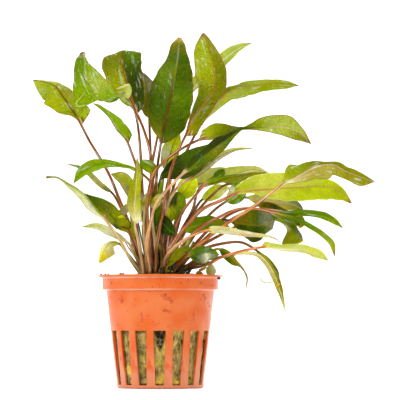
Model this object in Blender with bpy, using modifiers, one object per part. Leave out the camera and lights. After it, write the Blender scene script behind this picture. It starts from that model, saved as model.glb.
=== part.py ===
"""Potted cryptocoryne: an aquarium plant rooted in a rock-wool plug, in its slotted orange net pot.

Metres, +Z up. The origin is the middle of the pot's foot, where it rests on a table, and -Y is the
front. Everything is scaled from the pot, a common moulded size: 55 mm across the lip, 50 mm tall.
Each leaf grew as one piece, stalk and blade, and is one closed loft from a round stalk to a thin
blade. Leaf points are (across, up, depth) in millimetres as a level eye in front of the pot reads
them: across and up on the plane through the pot's axis, and depth away from that eye.
"""
import math

import bmesh
import bpy
import numpy as np

MM = 0.001

# Pot, all radii from its axis
POT_HEIGHT = 50 * MM
LIP_RADIUS = 27.5 * MM
LIP_THICK = 1.1 * MM
BAND_RADIUS = 25.7 * MM
BAND_FOOT = 43.3 * MM
WALL_TOP_RADIUS = 24.0 * MM
WALL_FOOT_RADIUS = 19.3 * MM
FOOT_RADIUS = 18.6 * MM
FOOT_ROUND = 1.0 * MM
WALL = 0.9 * MM
FLOOR = 1.2 * MM
POT_STEPS = 48

SLOTS = 16
SLOT_TOP = 25.4 * MM
SLOT_FOOT = 1.5 * MM
SLOT_TOP_WIDE = 5.5 * MM
SLOT_FOOT_WIDE = 3.7 * MM
SLOT_INNER = 15.4 * MM
SLOT_OUTER = 27 * MM
DRAINS = 8
DRAIN_INNER = 6 * MM
DRAIN_OUTER = 13.5 * MM
DRAIN_WIDE = 2.2 * MM

GAP = 0.3 * MM

# Rock-wool plug and the clump of rootstocks that the leaves grow from
PLUG_STEPS = 32
PLUG_SLACK = 0.4 * MM
PLUG_SHOULDER = 46.6 * MM
PLUG_TOP = 48.6 * MM
MOUND = (15 * MM, 10 * MM)
MOUND_RISE = 2.6 * MM
MOUND_RADIUS = 5.5 * MM
CROWN_MIDDLE = (0.3 * MM, -1.5 * MM, 49.4 * MM)
CROWN_HALF = (11.6 * MM, 10.6 * MM, 2.6 * MM)

# Leaves
EYE = np.array((17.6, -1100.0, 30.0)) * MM
FOOT_LIFT = 0.6 * MM
STALK_FOOT = 0.85 * MM
STALK_NECK = 0.55 * MM
BLADE_THICK = 0.3 * MM
RIB_DEEP = 0.55 * MM
TIP_BLUNT = 0.35 * MM
TIP_POINT = 0.75
BROAD = 9.0

# Leaf tissue, from new growth to shaded and dying leaves, as linear red, green and blue
TONES = {
    "lime": (0.48, 0.66, 0.01),
    "yellow": (0.39, 0.43, 0.01),
    "bright": (0.16, 0.38, 0.01),
    "middle": (0.08, 0.20, 0.01),
    "dark": (0.02, 0.05, 0.003),
    "olive": (0.25, 0.26, 0.03),
    "pale": (0.58, 0.66, 0.28),
}

# Every leaf: its tone, its stalk's foot (x, y), its blade's width, the share of its length where it
# is widest, how far its left and right halves lean forward along it in degrees, and its route.
# across fixes the direction in which a blade spreads. All lengths are in millimetres.
LEAVES = {
    "leaf_far_left_high": dict(
        tone="yellow",
        foot=(-5.4, -2), wide=17, middle=0.42, left=(-15, -25), right=(-25, -55),
        left_wide=(0.5, 1.2, 2.3, 4.2, 5.6, 6.5, 7.3, 8, 8.7, 9.3, 9.7, 9.6, 9.1, 8.2, 6.3, 3.7, 0.2),
        right_wide=(5.4, 7.2, 7.6, 7, 7.1, 7.3, 7.2, 6.8, 6.1, 5.1, 4, 2.9, 2.1, 1.5, 1.1, 0.7, 0.4),
        stem=[(-10, 63.5, -1), (-17, 80.5, 0), (-24, 97, -1), (-31.5, 109.5, -2)],
        blade=[(-36.5, 119, -2), (-39.5, 124, -1), (-43.5, 129.5, 1), (-47.5, 134.5, 3),
               (-51.5, 136, 5), (-57, 137, 6)]),
    "leaf_folded_left": dict(
        tone="bright",
        foot=(-4.4, -4), wide=20, middle=0.45, left=(5, 5), right=(-5, -5), across=(0.966, 0, 0.26),
        left_wide=(1.3, 0.9, 0.9, 0.9, 0.9, 0.7, 0.4, 0.4, 10.3, 8.7, 7.4, 6, 4.9, 4.2, 3.7, 2.7, 0.7),
        right_wide=(1.8, 2.2, 2.9, 4.9, 6.5, 8, 8.9, 9.4, 8.7, 8.2, 7.3, 6.6, 5.5, 4.2, 2.6, 1.5, 0.7),
        stem=[(-4, 77, -5.8), (-4, 101.5, -7.5), (-6.5, 112, -9), (-11, 123, -10)],
        blade=[(-15.5, 130.5, -10), (-21.5, 129, -17), (-27.5, 128, -24), (-31.5, 134, -25),
               (-34, 140.5, -23), (-35, 149, -18)]),
    "leaf_hanging_left": dict(
        tone="bright",
        foot=(-5.4, 2), wide=9, middle=0.35, left=(40, 40), right=(20, 30),
        left_wide=(0.5, 0.5, 0.5, 0.5, 0.5, 0.5, 0.5, 0.3, 0.2),
        right_wide=(3.5, 4.5, 4.8, 4.4, 3.2, 2.2, 1.6, 1.3, 0.2),
        stem=[(-7.5, 74.5, 5.5), (-10, 96, 4), (-12.5, 103.5, 4)],
        blade=[(-15.5, 110.5, 4), (-19.5, 115, 5), (-22.5, 120, 6), (-26.5, 124, 8), (-30, 126.5, 9)]),
    "leaf_broad_top": dict(
        tone="bright",
        foot=(-4.4, 0), wide=18, middle=0.5, left=(-8, -14), right=(-5, -14), across=(1, 0, 0.12),
        left_wide=(0.9, 2.2, 4, 5.4, 6.8, 7.9, 8.8, 9.2, 9.5, 8.4, 3.6, 2.7, 3.6, 3.6, 3.2, 2.7, 1.8),
        right_wide=(4.5, 5.8, 6.5, 6.9, 7.4, 7.8, 8.1, 8.4, 8.6, 8.6, 8.3, 7.7, 6.8, 5.9, 4.6, 3.2,
                    1.8),
        stem=[(-6.5, 68, 2), (-8, 87, 2), (-9, 105.5, 1), (-10, 116, 0.3)],
        blade=[(-11.5, 124, 0), (-13.5, 130.5, -1), (-15.5, 137.5, -1), (-17, 144.5, -1),
               (-17, 150, 1.5), (-17.5, 147, 9), (-17.5, 140.5, 14)]),
    "leaf_grey_behind": dict(
        tone="middle",
        foot=(-3.3, 6.2), wide=11, middle=0.45, left=(15, 25), right=(-25, -30),
        stem=[(-3.5, 63.5, 8), (-4, 81, 10), (-4.5, 105.5, 12)],
        blade=[(-5, 120, 15), (-5, 128, 18), (-6.5, 135, 22), (-8, 140.5, 27)]),
    "leaf_tall_middle": dict(
        tone="middle",
        foot=(-2.3, 0), wide=20, middle=0.42, left=(-8, -15), right=(-8, -15),
        left_wide=(1.3, 4.7, 7.2, 8.3, 9, 9.6, 9.9, 10, 9.7, 9.1, 8.2, 6.8, 5.5, 4.7, 4.3, 3.4, 0.9),
        right_wide=(4, 6.7, 8.8, 9.5, 9.9, 10.1, 10.1, 9.9, 9.5, 9.1, 8.4, 7.5, 6.4, 5, 3.7, 2.8, 0.9),
        stem=[(-3, 74.5, -1), (-2, 90.5, 0), (-1, 101, 1)],
        blade=[(0.5, 110.5, 2), (2.5, 119.5, 2), (4.5, 128.5, 2), (6, 137.5, 3), (7.5, 146, 5),
               (8.5, 156, 9)]),
    "leaf_tall_right": dict(
        tone="yellow",
        foot=(-2.2, -8.2), wide=16, middle=0.55, left=(-5, -20), right=(-10, -25),
        left_wide=(0.7, 1.6, 3.6, 6.6, 8.6, 8.9, 8.3, 6.3, 0.7),
        right_wide=(4.5, 5.2, 5, 4.2, 5.3, 5.4, 4.5, 2.9, 0.6),
        stem=[(-1.5, 64, -9), (1, 78, -9.5), (3, 90, -9), (7, 103.5, -8.5)],
        blade=[(12, 114, -8), (14, 119, -8.5), (16.5, 123, -9), (21, 128.5, -11), (23.5, 132, -12),
               (24.5, 136.5, -12), (23.5, 144, -11), (21.5, 150.5, -8), (19, 158, -4)]),
    "leaf_back_pale": dict(
        tone="pale",
        foot=(-1.1, 6.2), wide=6.5, middle=0.45, left=(10, 10), right=(-30, -30),
        left_wide=(0.9, 3.6, 3.6, 3.2, 3.2, 3.4, 2.9, 1.8, 0.2),
        right_wide=(0.5, 1.5, 3.1, 3.6, 3.1, 2.8, 2.1, 1, 0.2),
        stem=[(2.5, 77, 13), (5, 97, 18), (7.5, 113.5, 22), (9.5, 124, 25)],
        blade=[(12.5, 130, 28), (19.5, 138.5, 32), (27.5, 145.5, 36), (34, 150.5, 40),
               (40.5, 153.5, 45)]),
    "leaf_upper_right": dict(
        tone="bright",
        foot=(-0.1, 4.1), wide=8, middle=0.38, left=(30, 35), right=(5, 20),
        left_wide=(1, 2.1, 2.6, 1.8, 2.6, 2.3, 1.9, 1.6, 0.2),
        right_wide=(0.9, 2.5, 3.8, 5.1, 4.6, 3.8, 3.4, 2.7, 0.2),
        stem=[(2, 68, 5), (5.5, 88, 6), (13, 108, 7)],
        blade=[(20, 120, 8), (24.5, 126, 10), (30.5, 132, 12), (34.5, 133.5, 14), (40.5, 134.5, 18),
               (48, 135.5, 22), (55, 135.5, 26), (61.5, 134.5, 29)]),
    "leaf_twisted_right": dict(
        tone="pale",
        foot=(-3.4, -6.1), wide=10, middle=0.62, left=(10, 25, 60, 40, 20, 20), right=(30, 50, 50, 10, 5, 5),
        left_wide=(3.6, 5.7, 4, 1.6, 5.2, 6, 5.6, 2.4, 0.2),
        right_wide=(1, 1.9, 1.4, 0.7, 1.5, 2.8, 4, 3.6, 0.2),
        stem=[(-5.5, 70, -9), (-5.5, 85.5, -11.5), (-3.5, 94, -12), (1.5, 100.5, -12.5), (9, 106, -13)],
        blade=[(19.5, 111, -14), (24.5, 112, -16), (30.5, 113.5, -18), (36.5, 115, -20),
               (42.5, 115.5, -22), (50, 116, -24), (57, 115.5, -26), (62.5, 113, -27), (67, 108.5, -27)]),
    "leaf_big_dark": dict(
        tone="dark",
        foot=(-4.4, -8.2), wide=8, middle=0.45, left=(-5, -10), right=(-15, -20),
        left_wide=(1.3, 3.3, 3.4, 2.9, 3.4, 3.6, 2.5, 1.4, 0.2),
        right_wide=(0.7, 1.8, 3.2, 3.8, 3.5, 3, 2, 0.9, 0.2),
        stem=[(-6, 65.5, -12.5), (-4.5, 73, -14), (-2.5, 80.5, -15.5), (1, 86, -16), (5.5, 90.5, -16.5)],
        blade=[(11, 96, -17.5), (14.5, 98.5, -18.5), (19.5, 103, -21), (25, 107, -23),
               (30.5, 111, -25), (36.5, 115, -27.5)]),
    "leaf_dark_wavy": dict(
        tone="middle",
        foot=(-1.1, 2), wide=8, middle=0.5, left=(15, 15), right=(-15, -10),
        left_wide=(0.9, 2.3, 3.7, 4.6, 4.6, 4.4, 3.4, 1.8, 0.2),
        right_wide=(0.9, 3.7, 5.5, 6.4, 6.4, 6.4, 5, 2.3, 0.2),
        stem=[(-1, 68, 2), (-0.5, 83.5, 0)],
        blade=[(0.5, 93.5, -1.5), (5, 97, -2), (11.5, 100, -3), (16.5, 103.5, -4), (22.5, 108.5, -5)]),
    "leaf_olive_curled": dict(
        tone="olive",
        foot=(-0, -4.1), wide=6.5, middle=0.4, left=(-30, -50), right=(-20, -40),
        left_wide=(1.5, 2.6, 3.3, 3.4, 2.9, 2.1, 1.6, 1, 0.3),
        right_wide=(0.9, 1.4, 1.7, 1.8, 1.5, 1.3, 0.8, 0.6, 0.2),
        stem=[(1.5, 71, -3.2), (3.5, 82, -4.6), (6.5, 87.5, -4.2), (9, 90.5, -1.5)],
        blade=[(12.5, 92.5, 1.5), (18, 96.5, 3.5), (23, 100.5, 2), (28.5, 104, 0), (34.5, 106, -2),
               (41, 106.5, -3)]),
    "leaf_backlit": dict(
        tone="lime",
        foot=(-2.3, 4.1), wide=8.5, middle=0.45, left=(10, 0), right=(-25, -20),
        stem=[(0, 70, 9), (0.5, 85.5, 13)],
        blade=[(2, 97, 15), (4, 103, 17), (6, 109, 19), (8.5, 114, 21)]),
    "leaf_bright_middle": dict(
        tone="lime",
        foot=(1, 6.2), wide=9, middle=0.5, left=(10, 10), right=(-15, -15),
        stem=[(3, 65.5, 10), (5.5, 78, 12)],
        blade=[(8, 84, 12), (10.5, 87, 13), (13, 90.5, 15), (15.5, 94, 18)]),
    "leaf_rounded_green": dict(
        tone="middle",
        foot=(0, 0), wide=9, middle=0.5, left=(20, 30), right=(-20, -20),
        left_wide=(0.4, 0.5, 0.7, 1.9, 4.2, 4.5, 4.3, 3, 1),
        right_wide=(0.5, 1.9, 3.1, 3.8, 4.3, 4.3, 4, 2.8, 0.9),
        stem=[(2.5, 61, -0.3), (4.5, 67, -0.6)],
        blade=[(6.5, 73.5, -0.6), (7, 78, -0.8), (7.5, 82.5, -1), (8, 87, -1.2)]),
    "leaf_small_behind": dict(
        tone="yellow",
        foot=(1, 2), wide=5, middle=0.5, left=(0, 0), right=(-10, -10),
        stem=[(2.5, 63.5, 2.2)],
        blade=[(4, 73, 2), (4.5, 77, 2.5), (5, 81.5, 3)]),
    "leaf_dark_low": dict(
        tone="dark",
        foot=(1, -6.1), wide=9, middle=0.5, left=(-10, -10), right=(-10, -10),
        left_wide=(0.5, 1.4, 2.5, 3.4, 3.8, 3.8, 3.2, 2, 0.7),
        right_wide=(0.5, 1.6, 2.5, 3.2, 3.6, 3.7, 3.5, 2.7, 0.9),
        stem=[(3.5, 60.5, -6.5), (6.5, 65, -6.5)],
        blade=[(6.5, 68, -6.5), (4, 70, -6.3), (1, 73, -6), (-2.5, 75.5, -5.7)]),
    "leaf_front_pale": dict(
        tone="pale",
        foot=(-7.5, -8.2), wide=6.5, middle=0.27, left=(-10, -20), right=(-15, -30),
        left_wide=(0.5, 2.3, 3.5, 3.5, 2.9, 1.9, 1.2, 0.7, 0.1),
        right_wide=(3.2, 3.2, 2.9, 2.5, 2.3, 2.2, 2.1, 1.4, 0.2),
        stem=[(-9.5, 63.5, -13)],
        blade=[(-11.5, 73.5, -18), (-11.5, 81, -20), (-11, 88, -21), (-10.5, 95, -20.5),
               (-10.5, 102.5, -19)]),
    "leaf_left_arching": dict(
        tone="bright",
        foot=(-1.1, -2), wide=8, middle=0.62, left=(50, 50), right=(15, 15),
        left_wide=(1, 1, 1.4, 2.2, 3.3, 4, 4.3, 3, 0.3),
        right_wide=(0.6, 1, 1.4, 1.8, 2.3, 2.9, 2.9, 2.1, 0.2),
        stem=[(-1, 63.5, -3), (-1, 77, -4), (-1.5, 86, -3.8), (-4.5, 91.5, -4.6), (-7.5, 94.5, -6)],
        blade=[(-11, 97, -8), (-17, 98.5, -11), (-24, 99.5, -14), (-30, 98.5, -17), (-34.5, 96, -19),
               (-38.5, 91, -21)]),
    "leaf_small_glossy": dict(
        tone="bright",
        foot=(-3.3, -2), wide=5.5, middle=0.5, left=(10, 10), right=(-10, -10),
        stem=[(-3.5, 63.5, -2.6), (-3, 72.5, -3.6), (-1.5, 86.5, -7)],
        blade=[(-2.5, 94.5, -10.2), (-4, 97.5, -10.6), (-7, 99.5, -11.3), (-9, 101, -12)]),
    "leaf_curled_left": dict(
        tone="middle",
        foot=(-6.5, 0), wide=3.5, middle=0.4, left=(30, 60), right=(-30, -60),
        stem=[(-10.5, 62, 1.5), (-14.5, 72, 3), (-17.5, 79.5, 3)],
        blade=[(-22, 87, 2), (-25, 89, 1.5), (-28, 91.5, 1), (-31.5, 95, 1), (-36, 98, 1),
               (-42, 99.5, 1)]),
    "leaf_olive_left": dict(
        tone="olive",
        foot=(-7.5, 2), wide=7, middle=0.42, left=(35, 45), right=(10, 10),
        left_wide=(0.5, 1.7, 2.5, 2.8, 3.2, 3.1, 2.7, 1.8, 0.3),
        right_wide=(0.5, 1.8, 2.7, 3.4, 3.6, 3.6, 2.9, 1.8, 0.2),
        stem=[(-10, 68, 7)],
        blade=[(-13, 83, 7), (-14, 88, 6), (-17, 92.5, 5), (-22, 95, 4)]),
    "leaf_long_left": dict(
        tone="pale",
        foot=(-8.6, -6.1), wide=6.5, middle=0.45, left=(25, 20), right=(75, 70),
        left_wide=(0.5, 2.2, 3.2, 3.1, 2.6, 1.9, 0.7, 0.4, 0.6),
        right_wide=(1.5, 1.5, 1.5, 1.5, 1.5, 1.5, 1.3, 1, 1.5),
        stem=[(-14.5, 59, -11), (-18.5, 66.5, -15)],
        blade=[(-25.5, 75.5, -19.5), (-28.5, 79, -21), (-32, 83.5, -22.5), (-36, 87.5, -24),
               (-41, 90.5, -26), (-46.5, 93.5, -28), (-51, 93.5, -29)]),
    "leaf_dark_left": dict(
        tone="olive",
        foot=(-7.5, -2), wide=8.8, middle=0.35, left=(-10, -15), right=(-20, -30),
        left_wide=(0.9, 2.3, 2.7, 3, 3.2, 2.7, 2.1, 1.1, 0.1),
        right_wide=(0.9, 2.9, 3.8, 4.6, 4.7, 4, 3, 1.5, 0.2),
        stem=[(-10, 59, -4.5), (-12, 64.5, -7.5)],
        blade=[(-14.5, 69.5, -10), (-19, 73.5, -12), (-23.5, 78, -14), (-28.5, 82, -16),
               (-34.5, 86.5, -17)]),
    "leaf_pale_low_left": dict(
        tone="pale",
        foot=(-6.4, -4), wide=5, middle=0.5, left=(50, 50), right=(40, 40),
        stem=[(-9.5, 56, -6), (-11.5, 59, -7.5)],
        blade=[(-14.5, 64.5, -8.5), (-18, 66.5, -10), (-22.5, 69, -11.5), (-28, 71.5, -13),
               (-34.5, 71.5, -14)]),
    "leaf_yellow_low_left": dict(
        tone="yellow",
        foot=(-8.4, -4), wide=7, middle=0.5, left=(-20, -20), right=(-10, -10),
        left_wide=(0.7, 2.1, 3.8, 5, 5.2, 4.5, 3.3, 2.1, 0.6),
        right_wide=(0.5, 0.7, 0.9, 1.4, 1.9, 1.8, 1.4, 1, 0.6),
        stem=[(-11.5, 55.5, -5), (-15.5, 60.5, -6)],
        blade=[(-18.5, 64, -7), (-21.5, 64.5, -8), (-24, 62.5, -9), (-25.5, 59.5, -9.5),
               (-27, 55.5, -9.5)]),
    "leaf_rightmost": dict(
        tone="bright",
        foot=(4.2, -4.1), wide=13, middle=0.38, left=(30, 50, 60), right=(-25, -15, -10),
        left_wide=(1.5, 7.1, 5.5, 3.8, 1.9, 2.9, 3.3, 2.6, 0.4),
        right_wide=(0.5, 2.9, 4.7, 6.4, 6.2, 3.9, 3.4, 3.9, 0.2),
        stem=[(6.5, 54, -5), (8.5, 56, -7), (13, 60, -11), (18.5, 64.5, -13.5), (28.5, 72, -17),
              (40.5, 80, -22), (49.5, 86.5, -26)],
        blade=[(55.5, 91, -28), (60.5, 93.5, -30), (67.5, 97.5, -33), (72, 99, -36), (77.5, 99, -38),
               (82, 96.5, -39), (87, 94.5, -39.5), (95.5, 91.5, -41)]),
    "leaf_big_lime": dict(
        tone="lime",
        foot=(-0, -8.2), wide=13, middle=0.45, left=(10, 20), right=(-15, -30),
        left_wide=(3.2, 6.1, 7.1, 7, 6.2, 4.6, 3.3, 1.9, 0.2),
        right_wide=(0.7, 1.4, 4, 5.7, 6.3, 6.4, 6.2, 4.5, 0.3),
        stem=[(2.5, 57, -10.6), (5, 62.5, -12), (13, 73.5, -13.5), (19, 79.5, -14), (26.5, 83, -15)],
        blade=[(34.5, 86.5, -17), (40.5, 87.5, -18.5), (46, 88, -20), (53, 88.5, -21), (62, 89, -23),
               (71, 89.5, -24), (76.5, 89, -25), (81, 86.5, -25.5), (85, 82, -26)]),
    "leaf_pale_back_right": dict(
        tone="pale",
        foot=(2, 4.1), wide=9, middle=0.42, left=(15, 30), right=(-25, -35),
        left_wide=(1.4, 5.1, 5.6, 5, 4.3, 3.2, 2, 1.5, 0.2),
        right_wide=(0.5, 2, 2.5, 2.5, 2.6, 2.6, 2.6, 1.9, 0.2),
        stem=[(6, 65.5, 7), (10, 80, 14)],
        blade=[(12.5, 89.5, 21), (19, 91, 24), (24.5, 93, 27), (30.5, 94, 29), (36.5, 96, 32),
               (41.5, 97, 35), (49, 95, 38)]),
    "leaf_thin_dark": dict(
        tone="dark",
        foot=(1, -2), wide=6, middle=0.4, left=(30, 60), right=(-30, -65),
        left_wide=(1.5, 2.9, 2, 1.5, 1.3, 1.2, 1.1, 0.8, 0.4),
        right_wide=(0.5, 1.1, 1.7, 4, 5.3, 3.6, 2.4, 1.4, 0.4),
        stem=[(5.5, 65.5, -4), (8.5, 76, -5), (13, 82.5, -5), (16.5, 86.5, -4.6)],
        blade=[(20.5, 90.5, -4), (23.5, 91, -3.8), (29, 93, -3.5), (34.5, 94, -3), (40.5, 95, -1),
               (46.5, 95.5, 2)]),
    "leaf_small_round": dict(
        tone="bright",
        foot=(3.2, 6.2), wide=4, middle=0.55, left=(20, 20), right=(0, 0),
        stem=[(8.5, 68, 8), (14.5, 79.5, 8), (17, 88, 8)],
        blade=[(23.5, 93.5, 8), (25, 94.5, 8), (27, 95.5, 8), (28.5, 97, 8)]),
    "leaf_glossy_lobe": dict(
        tone="bright",
        foot=(2, 0), wide=8.5, middle=0.5, left=(10, -10), right=(30, 10),
        stem=[(10.5, 68.5, 0), (16.5, 78.5, 0), (22.5, 85, -1), (27.5, 89.5, -3)],
        blade=[(32, 90.5, -5), (33.5, 89, -7), (34, 87, -9), (32, 84.5, -11), (29, 83, -12)]),
    "leaf_lime_behind": dict(
        tone="lime",
        foot=(3.2, 2.1), wide=6.5, middle=0.5, left=(10, 20), right=(-20, -20),
        stem=[(7.5, 63, 5), (14, 76.5, 7)],
        blade=[(18.5, 83.5, 9), (22, 85.5, 11), (26, 87.5, 13), (30.5, 89, 15)]),
    "leaf_drooping_dark": dict(
        tone="dark",
        foot=(4.2, 4.1), wide=16.5, middle=0.45, left=(10, -5), right=(-5, -15),
        left_wide=(1.4, 4.5, 5.8, 6.9, 7.6, 7.6, 6.9, 5.6, 3.1),
        right_wide=(0.9, 3.1, 4.9, 6.5, 7.7, 6.8, 5.5, 3.2, 0.5),
        stem=[(10.5, 62.5, 3.2), (17.5, 70.5, 4), (24.5, 73.5, 3), (29, 74.5, 1.5)],
        blade=[(32.5, 73.5, 0), (35.5, 73, -1.5), (39, 72.5, -3.5), (42.5, 72, -5.5), (46, 72, -7.5),
               (50, 71, -9)]),
    "leaf_right_green": dict(
        tone="bright",
        foot=(5.3, 2.1), wide=5.5, middle=0.55, left=(40, 30), right=(-10, -25),
        left_wide=(0.6, 1.4, 1.8, 1.9, 1.8, 1.7, 1.6, 1.3, 0.2),
        right_wide=(0.5, 1.1, 1.5, 1.5, 1.6, 1.9, 1.9, 1.4, 0.2),
        stem=[(15.5, 62, 5), (28.5, 73, 8), (40.5, 78.5, 9)],
        blade=[(52, 78.5, 9), (55, 77.5, 8), (60, 77.5, 7), (67.5, 77.5, 6), (73, 76.5, 5),
               (77.5, 74, 4), (81, 71, 3)]),
    "leaf_right_curved": dict(
        tone="middle",
        foot=(3.2, -6.1), wide=6, middle=0.5, left=(-10, -10), right=(-45, -30),
        left_wide=(0.5, 1.1, 1.4, 1.4, 1.4, 1.4, 1.4, 1.4, 0.2),
        right_wide=(0.6, 1.2, 1.2, 1.1, 1.1, 1.2, 1.3, 1.2, 0.2),
        stem=[(8.5, 61, -7), (17, 70.5, -9.5), (25.5, 75.5, -12), (35.5, 79.5, -12.5), (45, 79, -13)],
        blade=[(48.5, 78, -13.5), (54.5, 76, -14), (60.5, 74.5, -15), (66.5, 71.5, -17), (72, 68, -19),
               (76, 64, -21), (77.5, 58.5, -22)]),
    "leaf_olive_mid": dict(
        tone="olive",
        foot=(6.4, 4.1), wide=6, middle=0.4, left=(20, 20), right=(-20, -20),
        stem=[(14, 62, 9), (25, 73, 13), (35.5, 79, 15), (40, 80, 15.5)],
        blade=[(43.5, 81, 16), (48, 80, 16), (53, 77.5, 15), (58, 75, 14), (62.5, 71.5, 13)]),
    "leaf_back_olive": dict(
        tone="olive",
        foot=(5.3, 6.2), wide=7.5, middle=0.5, left=(10, 10), right=(-10, -10),
        stem=[(13, 64.5, 13), (23, 78, 18), (32.5, 84, 22)],
        blade=[(38.5, 84.5, 23), (45, 83.5, 24), (51, 82.5, 25), (56, 82, 26), (60, 81, 27),
               (63.5, 79, 28)]),
    "leaf_pale_narrow": dict(
        tone="pale",
        foot=(1.2, -10), wide=4.2, middle=0.25, left=(30, 70), right=(-30, -70),
        stem=[(2, 57, -13), (6, 62, -15.5), (14, 67.5, -17.5)],
        blade=[(21.5, 70, -20), (27.5, 70, -22), (34, 69, -24), (40.5, 68, -27), (46, 67.5, -29),
               (50.5, 66.5, -31), (54, 64, -33)]),
    "leaf_yellow_tip": dict(
        tone="yellow",
        foot=(6.4, 0), wide=9, middle=0.6, left=(60, 45), right=(-10, 25),
        left_wide=(0.9, 2.5, 4, 4.6, 4.4, 3.5, 2.4, 1.9, 0.3),
        right_wide=(0.5, 0.4, 0.4, 0.9, 2.2, 6.8, 8.3, 6.9, 2),
        stem=[(17.5, 62.5, 3), (27, 68, 6), (34.5, 72, 9), (42.5, 75, 10)],
        blade=[(49.5, 75, 10), (54, 73.5, 10), (58, 71, 9), (61, 68, 8), (63.5, 65, 7)]),
    "leaf_pale_low_right": dict(
        tone="pale",
        foot=(6.5, -4.1), wide=6, middle=0.35, left=(20, 30), right=(-40, -30),
        left_wide=(2.4, 2.1, 1.8, 2.2, 2.7, 2.5, 2.4, 1.8, 0.2),
        right_wide=(0.6, 0.9, 1.6, 1.7, 1.5, 1.6, 2.4, 1.6, 0.2),
        stem=[(13, 53, -9), (18, 54, -14), (22.5, 55.5, -18), (26, 57.5, -20.5), (32, 59.5, -23),
              (40, 61.5, -26)],
        blade=[(46.5, 62.5, -28), (53, 62, -30), (60, 61.5, -32), (66.5, 60.5, -34), (71, 59, -36),
               (74.5, 56.5, -38)]),
    "leaf_arching_low_right": dict(
        tone="olive",
        foot=(7.4, -2), wide=5, middle=0.55, left=(-30, -40), right=(-10, -10),
        left_wide=(0.5, 0.6, 0.8, 1.1, 1.4, 2.1, 1.8, 1, 0.3),
        right_wide=(0.7, 0.9, 1.1, 1.5, 1.7, 1.7, 1.3, 0.7, 0.2),
        stem=[(11.5, 54, -3.6), (15.5, 56, -5), (24.5, 57.5, -9)],
        blade=[(32, 59, -12), (37.5, 60, -14), (43.5, 59, -16), (47.5, 55.5, -18), (50.5, 50.5, -20),
               (53, 43.5, -22), (55.5, 34, -24)]),
    "leaf_arching_dark": dict(
        tone="dark",
        foot=(3.2, -2), wide=6, middle=0.4, left=(10, 10), right=(-30, -30),
        left_wide=(0.4, 0.5, 0.7, 1.1, 1.4, 1.4, 0.9, 0.7, 0.2),
        right_wide=(0.4, 0.8, 1, 1, 1, 1, 0.8, 0.5, 0.2),
        stem=[(5.5, 55, -2.1), (12.5, 58.5, -2.6), (20, 62, -3.6), (27.5, 64, -5), (36, 64.5, -7),
              (40.5, 62.5, -9)],
        blade=[(44, 60, -10), (47.5, 57.5, -11), (50, 53.5, -12), (52, 49, -13), (53.5, 43.5, -14)]),
    "leaf_small_tail": dict(
        tone="middle",
        foot=(7.4, 2.1), wide=4.5, middle=0.22, left=(-20, -60), right=(-15, -60),
        left_wide=(0.5, 2, 2.3, 1.9, 0.9, 0.6, 0.7, 0.6, 0.4),
        right_wide=(0.9, 2.1, 2.2, 1.8, 0.8, 0.6, 0.5, 0.5, 0.4),
        stem=[(16, 57, 3.5), (22, 60.5, 3)],
        blade=[(26.5, 61.5, 2), (29.5, 59, 1), (32.5, 56, 0), (35.5, 54, -1), (37.5, 51.5, -2),
               (38.5, 48.5, -3), (38, 44, -4)]),
    "leaf_dark_glossy_low": dict(
        tone="dark",
        foot=(5.4, -6.1), wide=8.5, middle=0.38, left=(-15, -20), right=(0, -10),
        left_wide=(0.9, 2.8, 3.7, 3.7, 3.3, 2.6, 2.1, 1.4, 0.2),
        right_wide=(0.4, 2.2, 3.6, 4.5, 4.5, 3.8, 3.1, 2, 0.2),
        stem=[(9, 55, -11.5)],
        blade=[(13, 58, -17), (16.5, 59, -20), (21, 60, -23), (26, 59, -26)]),
    "leaf_at_rim": dict(
        tone="lime",
        foot=(8.5, 4.1), wide=4.8, middle=0.55, left=(-10, -10), right=(-10, -10),
        stem=[(15.5, 55, 5), (20, 56, 6)],
        blade=[(22.5, 55, 6), (22.5, 53, 6), (22.5, 51.5, 5.7), (22.5, 49.5, 5)]),
    "leaf_dark_middle_right": dict(
        tone="middle",
        foot=(2, -4.1), wide=8, middle=0.45, left=(25, 30), right=(-20, -20),
        left_wide=(0.5, 2.5, 3.7, 3.5, 3.3, 3, 2.5, 1.5, 0.2),
        right_wide=(1.4, 3.1, 3.5, 3.5, 3.3, 2.8, 2.4, 1.4, 0.2),
        stem=[(5, 61, -4.6), (8, 67, -5.4)],
        blade=[(10.5, 70, -6.2), (15.5, 72, -6.2), (21, 73.5, -6.2), (26.5, 72.5, -6),
               (31.5, 70.5, -5.5)]),
    "leaf_yellow_green_low": dict(
        tone="yellow",
        foot=(2, -8.2), wide=4.5, middle=0.5, left=(-10, -20), right=(-10, -20),
        left_wide=(0.5, 1.1, 1.6, 2.1, 2.3, 2.3, 1.9, 1.2, 0.4),
        right_wide=(0.7, 1.4, 1.8, 2.1, 2.1, 1.9, 1.4, 0.9, 0.4),
        stem=[(2.5, 53, -8.6)],
        blade=[(3, 54, -9.2), (4.5, 56, -10.8), (7, 58.5, -12.5), (9.5, 60.5, -12.8),
               (12, 61.5, -13.3), (14, 61.5, -13.8)]),
    "leaf_olive_centre_left": dict(
        tone="olive",
        foot=(-6, -6.1), wide=4, middle=0.5, left=(-10, 0), right=(10, 10),
        left_wide=(0.9, 1.8, 2.2, 2.5, 2.5, 2.2, 2, 1.6, 0.4),
        right_wide=(0.9, 1.4, 1.8, 1.8, 1.8, 1.6, 1.4, 0.9, 0.5),
        stem=[(-7, 65.5, -7)],
        blade=[(-7, 78.5, -8.3), (-6.5, 81.5, -8.4), (-5.5, 84.5, -8.4), (-5, 87, -8.3)]),
    "leaf_olive_centre_right": dict(
        tone="olive",
        foot=(-1.1, -6.1), wide=4.5, middle=0.5, left=(-10, 0), right=(10, 10),
        left_wide=(0.9, 2.2, 2.9, 2.9, 2.7, 2.4, 2.2, 1.8, 0.4),
        right_wide=(0.9, 1.4, 1.8, 2, 1.8, 1.8, 1.6, 1.4, 0.5),
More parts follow.
